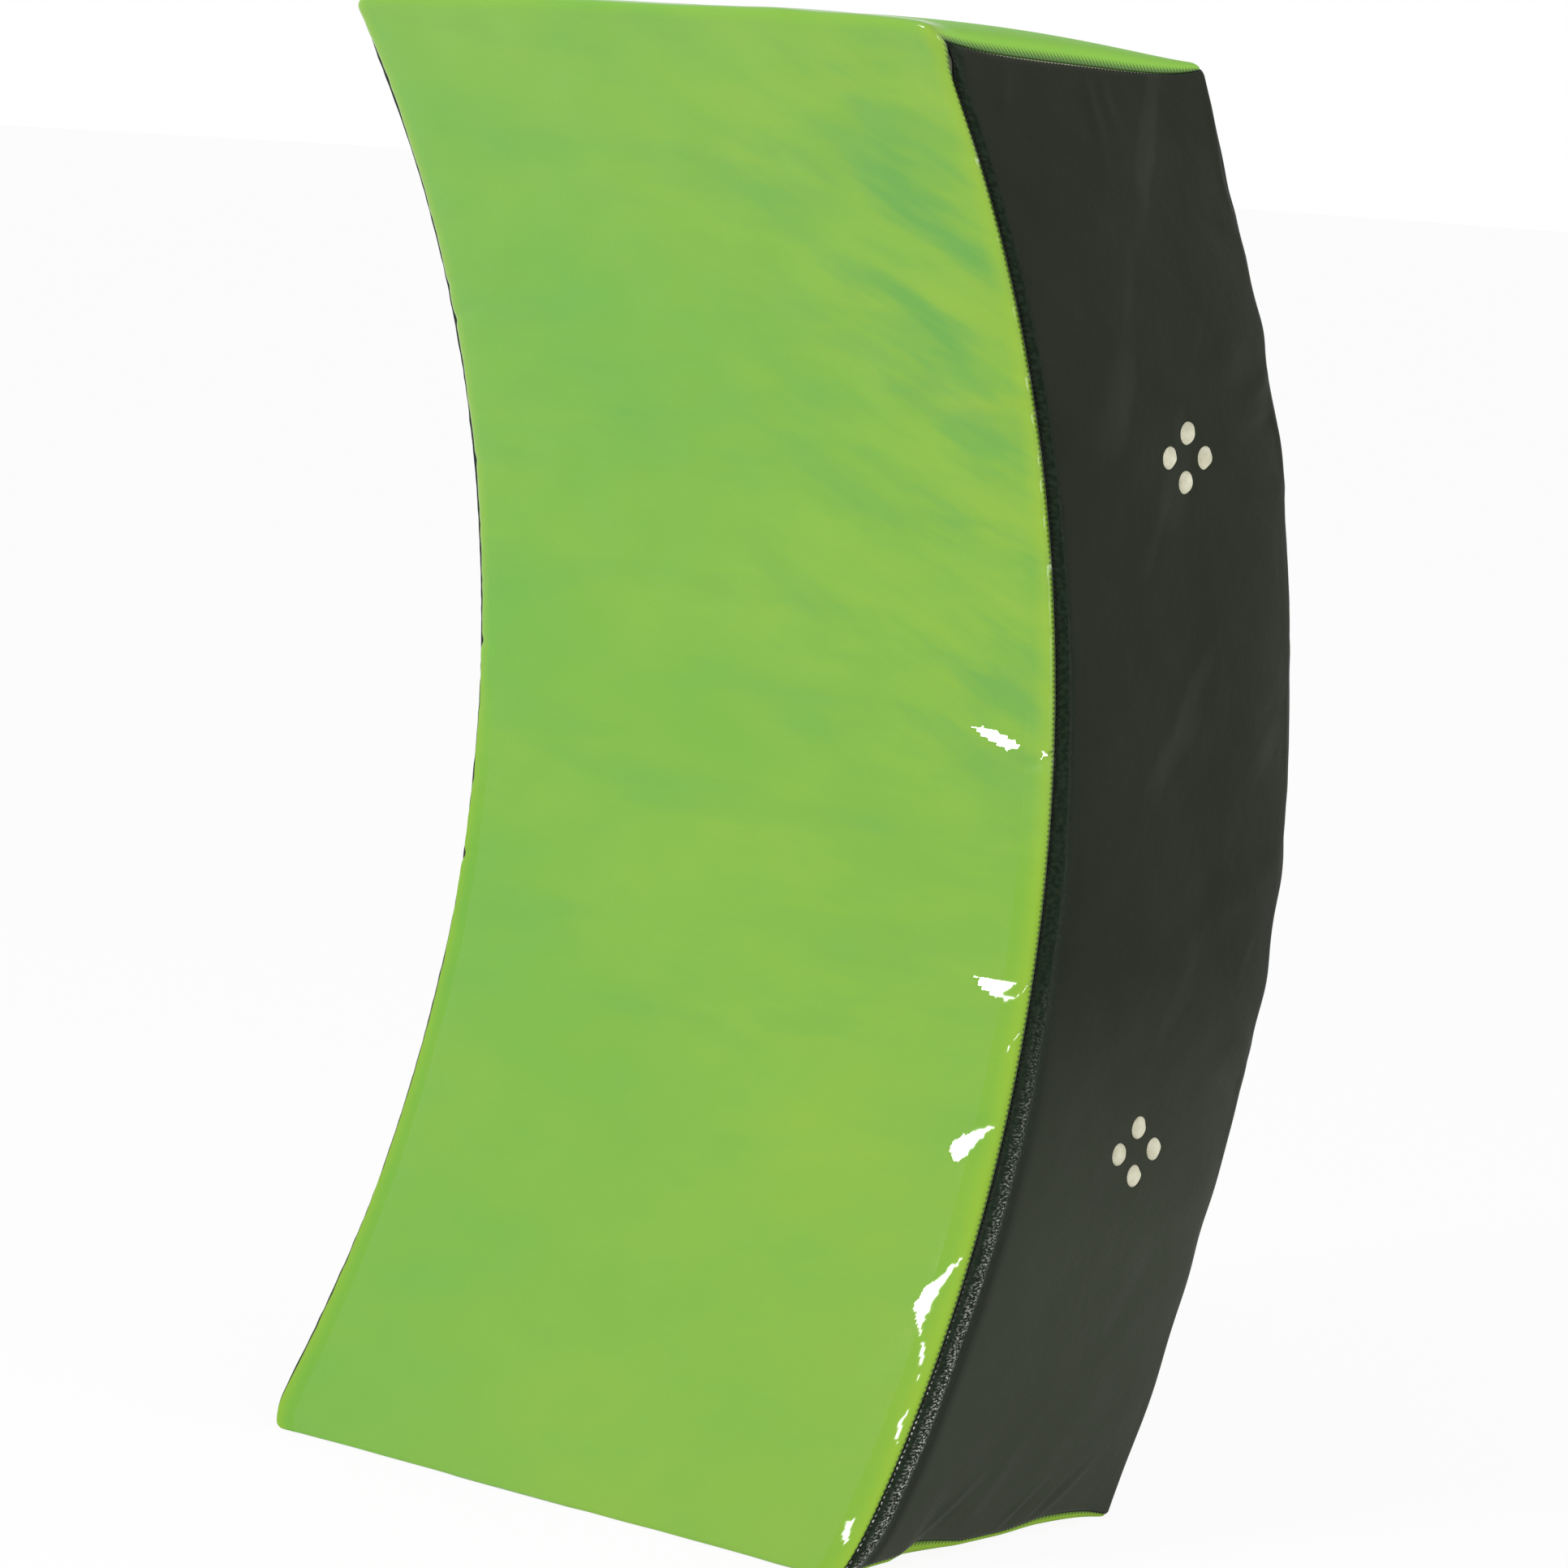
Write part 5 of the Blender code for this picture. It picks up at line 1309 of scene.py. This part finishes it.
def make_patch(level, hand, side):
    z_mid, half_tall = STRAP_HEIGHTS[level], WEB_WIDTH / 2 + PATCH_PAST
    x_mid, half_long = side * (PATCH_NEAR + PATCH_FAR) / 2, (PATCH_FAR - PATCH_NEAR) / 2
    u, v = np.meshgrid(np.linspace(-1, 1, 29), np.linspace(-1, 1, 33))
    x, z = u * half_long, v * half_tall
    over_x = np.maximum(0, np.abs(x) - (half_long - PATCH_CORNER))
    over_z = np.maximum(0, np.abs(z) - (half_tall - PATCH_CORNER))
    far = np.hypot(over_x, over_z)
    pull = np.where(far > 1e-9, np.maximum(over_x, over_z) / np.maximum(far, 1e-9), 1)
    x = np.sign(x) * (np.abs(x) - over_x * (1 - pull))
    z = np.sign(z) * (np.abs(z) - over_z * (1 - pull))
    edge = np.minimum(half_long - np.abs(x), half_tall - np.abs(z))
    dip = DIP_DEEP * np.exp(-((edge - DIP_INSET) / DIP_WIDE) ** 2)
    outer = cover_point(x_mid + x, DEPTH, z_mid + z, -PATCH_OUTER + dip)
    inner = cover_point(x_mid + x, DEPTH, z_mid + z, -PATCH_INNER)
    flat_place = np.stack([x_mid + x + CLOTH_SHIFT, z_mid + z, edge + NO_SEAM], -1)
    patch = new_sheet(f"patch_{level}_{hand}", outer, inner, flat_place, black.material)
    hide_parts(f"strap_patch_{level}_{hand}")
    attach(patch, "pad")
    2 * half_long


for level in STRAP_HEIGHTS:
    for side, hand in HANDS:
        make_patch(level, hand, side)

# %% [markdown]
# ## Topstitching
# The loads go through visible stitching: a box with a cross on each strap end, a row round each
# patch, and one round the zip slot. All of it is the same thread as the seams, laid on the cloth.

# %% Strap, patch and slot stitches
# The box's two ends and its half width.
BOX_NEAR, BOX_FAR, BOX_HALF = 118 * MM, 154 * MM, 18 * MM
# A patch's row: how far in from its ends, how far past the webbing, and how much its corners are cut.
RIM_IN, RIM_PAST, RIM_CUT = 3 * MM, 5 * MM, 5 * MM
# How far the slot's row lies outside the slot, and how high each row lies.
SLOT_ROW, WEB_LIFT, PATCH_LIFT, SLOT_LIFT = 3.5 * MM, 0.12 * MM, 1.25 * MM, 0.1 * MM


def on_strap(level, side):
    """A function from places on a sewn strap end, along and across, to points on its outer face."""
    z, turn = STRAP_HEIGHTS[level], back_frame(STRAP_HEIGHTS[level])

    def place(path, sink):
        rows = []
        for x, across in path:
            middle, _, thick, _ = strap_station(turn, z, side * x)
            rows.append(list(turn @ Vector((side * x, middle + thick / 2 - sink, across))))
        return np.array(rows)
    return place


def patch_rim(x_mid, z_mid):
    """A closed line just inside a patch's rim, with cut corners."""
    half_long, half_tall = (PATCH_FAR - PATCH_NEAR) / 2 - RIM_IN, WEB_WIDTH / 2 + RIM_PAST
    a, b = 1 - RIM_CUT / half_long, 1 - RIM_CUT / half_tall
    shares = ((-1, -b), (-a, -1), (a, -1), (1, -b), (1, b), (a, 1), (-a, 1), (-1, b), (-1, -b))
    return [(x_mid + along * half_long, z_mid + up * half_tall) for along, up in shares]


# The box, and then the two lines of its cross.
a, b, c, d = (BOX_NEAR, -BOX_HALF), (BOX_FAR, -BOX_HALF), (BOX_FAR, BOX_HALF), (BOX_NEAR, BOX_HALF)
box_lines = ((a, b, c, d, a), (a, c), (d, b))
for level, z_mid in STRAP_HEIGHTS.items():
    for side, hand in HANDS:
        runs = [sewn(on_strap(level, side), line, WEB_LIFT) for line in box_lines]
        runs.append(sewn(back_place, patch_rim(side * (PATCH_NEAR + PATCH_FAR) / 2, z_mid), PATCH_LIFT))
        sew(f"strap_stitches_{level}_{hand}", [np.concatenate(rows) for rows in zip(*runs)])
slot_long, slot_tall = SLOT_HALF + SLOT_ROW, SLOT_TALL + SLOT_ROW
slot_corners = ((-1, -1), (1, -1), (1, 1), (-1, 1), (-1, -1))
slot_rim = [(a * slot_long, ZIP_HEIGHT + b * slot_tall) for a, b in slot_corners]
sew("slot_stitches", sewn(back_place, slot_rim, SLOT_LIFT))

# %% [markdown]
# ## The zip
# The teeth, stops, slider and pull are rigid and already have their true shapes in the measured
# model, so they only get better finishes. The two tapes are soft, so each is replaced by a thin
# woven strip in the same place.

# %% Zip tapes and fittings
# How far each skin lies inside the measured tape, and the height and length of the tape's waves.
TAPE_INSET, TAPE_WAVE, TAPE_WAVE_LONG = 0.06 * MM, 0.06 * MM, 18 * MM
for row, side in (("upper", 1), ("lower", -1)):
    low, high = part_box(f"zip_tape_{row}")
    half_long = (high[0] - low[0]) / 2
    local = [zip_turn.inverted() @ v.co for v in bpy.data.objects[f"zip_tape_{row}"].data.vertices]
    levels = sorted(v.y for v in local)
    edges = sorted(v.z for v in local)
    x, z = np.meshgrid(np.linspace(-half_long, half_long, 91), np.linspace(edges[0], edges[-1], 9))
    wavy = TAPE_WAVE * soft_noise(x, z, TAPE_WAVE_LONG, 70 + side)
    grids = []
    for level, shift in ((levels[-1], -TAPE_INSET), (levels[0], TAPE_INSET)):
        flat = np.stack([x, level + wavy + shift, z], -1).reshape(-1, 3)
        turned = flat @ np.array(zip_turn.to_3x3()).T + np.array(zip_turn.translation)
        grids.append(turned.reshape(*x.shape, 3))
    flat_place = np.stack([z, x, 0 * x + 0.01], -1)
    tape = new_sheet(f"tape_{row}", *grids, flat_place, tape_cloth.material)
    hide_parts(f"zip_tape_{row}")
    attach(tape, "pad")

fittings = (
    (("zip_teeth_upper", "zip_teeth_lower"), zip_plastic),
    (("zip_stop_right", "zip_stop_left", "zip_slider", "zip_pull"), zip_metal),
)
for names, finish in fittings:
    for name in names:
        for slot in bpy.data.objects[name].material_slots:
            slot.material = finish.material
        print(name, "->", finish.material.name)

# %% [markdown]
# ## The studio
# A pale floor and a white surround, as for a shop picture. One soft box stands high in front of the
# strike face and makes the white glints near the right seam. A weaker one stands at the right side,
# and the surround fills the rest. The floor shows almost white to the camera but keeps the wedge's
# soft shadow.

# %% Floor and surround
# How far the floor reaches, how far it lies below the base, the share of plain white in it, and the
# strength of the surround's light.
FLOOR_HALF, FLOOR_DROP, FLOOR_WHITE, FILL = 60, 0.5 * MM, 0.93, 0.62


def direct_ray(tree):
    """1 for rays from the camera, a mirror or glass, which see the plain white surround."""
    rays = tree.nodes.new("ShaderNodeLightPath")
    seen = rays.outputs["Is Camera Ray"]
    for name in ("Is Glossy Ray", "Is Transmission Ray"):
        either = tree.nodes.new("ShaderNodeMath")
        either.operation = "MAXIMUM"
        tree.links.new(seen, either.inputs[0])
        tree.links.new(rays.outputs[name], either.inputs[1])
        seen = either.outputs[0]
    return seen


floor_points = [(x * FLOOR_HALF, y * FLOOR_HALF, 0) for x, y in ((-1, -1), (1, -1), (1, 1), (-1, 1))]
floor_finish = Finish("pale_floor", (0.95, 0.95, 0.95), 0.9, Specular_IOR_Level=0.1)
tree = floor_finish.tree
glow = tree.nodes.new("ShaderNodeEmission")
glow.inputs["Color"].default_value = (1, 1, 1, 1)
blend_in = tree.nodes.new("ShaderNodeMixShader")
whiten = tree.nodes.new("ShaderNodeMath")
whiten.operation = "MULTIPLY"
whiten.inputs[1].default_value = FLOOR_WHITE
tree.links.new(direct_ray(tree), whiten.inputs[0])
tree.links.new(whiten.outputs[0], blend_in.inputs[0])
tree.links.new(floor_finish.shader.outputs[0], blend_in.inputs[1])
tree.links.new(glow.outputs[0], blend_in.inputs[2])
tree.links.new(blend_in.outputs[0], tree.nodes["Material Output"].inputs["Surface"])
floor = new_piece("floor", floor_points, [(0, 1, 2, 3)], floor_finish.material)
floor.location.z = -FLOOR_DROP

world = bpy.data.worlds.new("studio")
bpy.context.scene.world = world
world.use_nodes = True
tree = world.node_tree
fill = tree.nodes["Background"]
fill.inputs["Color"].default_value = (1, 1, 1, 1)
fill.inputs["Strength"].default_value = FILL
plain = tree.nodes.new("ShaderNodeBackground")
plain.inputs["Color"].default_value = (1, 1, 1, 1)
plain.inputs["Strength"].default_value = 1.0
choose = tree.nodes.new("ShaderNodeMixShader")
tree.links.new(direct_ray(tree), choose.inputs[0])
tree.links.new(fill.outputs[0], choose.inputs[1])
tree.links.new(plain.outputs[0], choose.inputs[2])
tree.links.new(choose.outputs[0], tree.nodes["World Output"].inputs["Surface"])
print("floor and surround made, floor at", round(floor.location.z, 4))

# %% [markdown]
# Each soft box is a rectangle that looks at the place that the camera aims at.

# %% Lamps
def soft_box(name, place, wide, tall, watts):
    lamp = bpy.data.lights.new(name, "AREA")
    lamp.shape, lamp.size, lamp.size_y, lamp.energy = "RECTANGLE", wide, tall, watts
    box = bpy.data.objects.new(name, lamp)
    box.location = place
    box.rotation_euler = (place - AIM).to_track_quat("Z", "Y").to_euler()
    bpy.context.scene.collection.objects.link(box)
    print(name, "at", [round(value, 2) for value in place])


soft_box("front_box", FRONT_BOX, wide=0.45, tall=0.4, watts=26)
soft_box("side_box", AIM + Vector((2.2, 0.2, 0.3)), wide=0.8, tall=1.2, watts=14)
bpy.context.scene.view_settings.view_transform = "Standard"
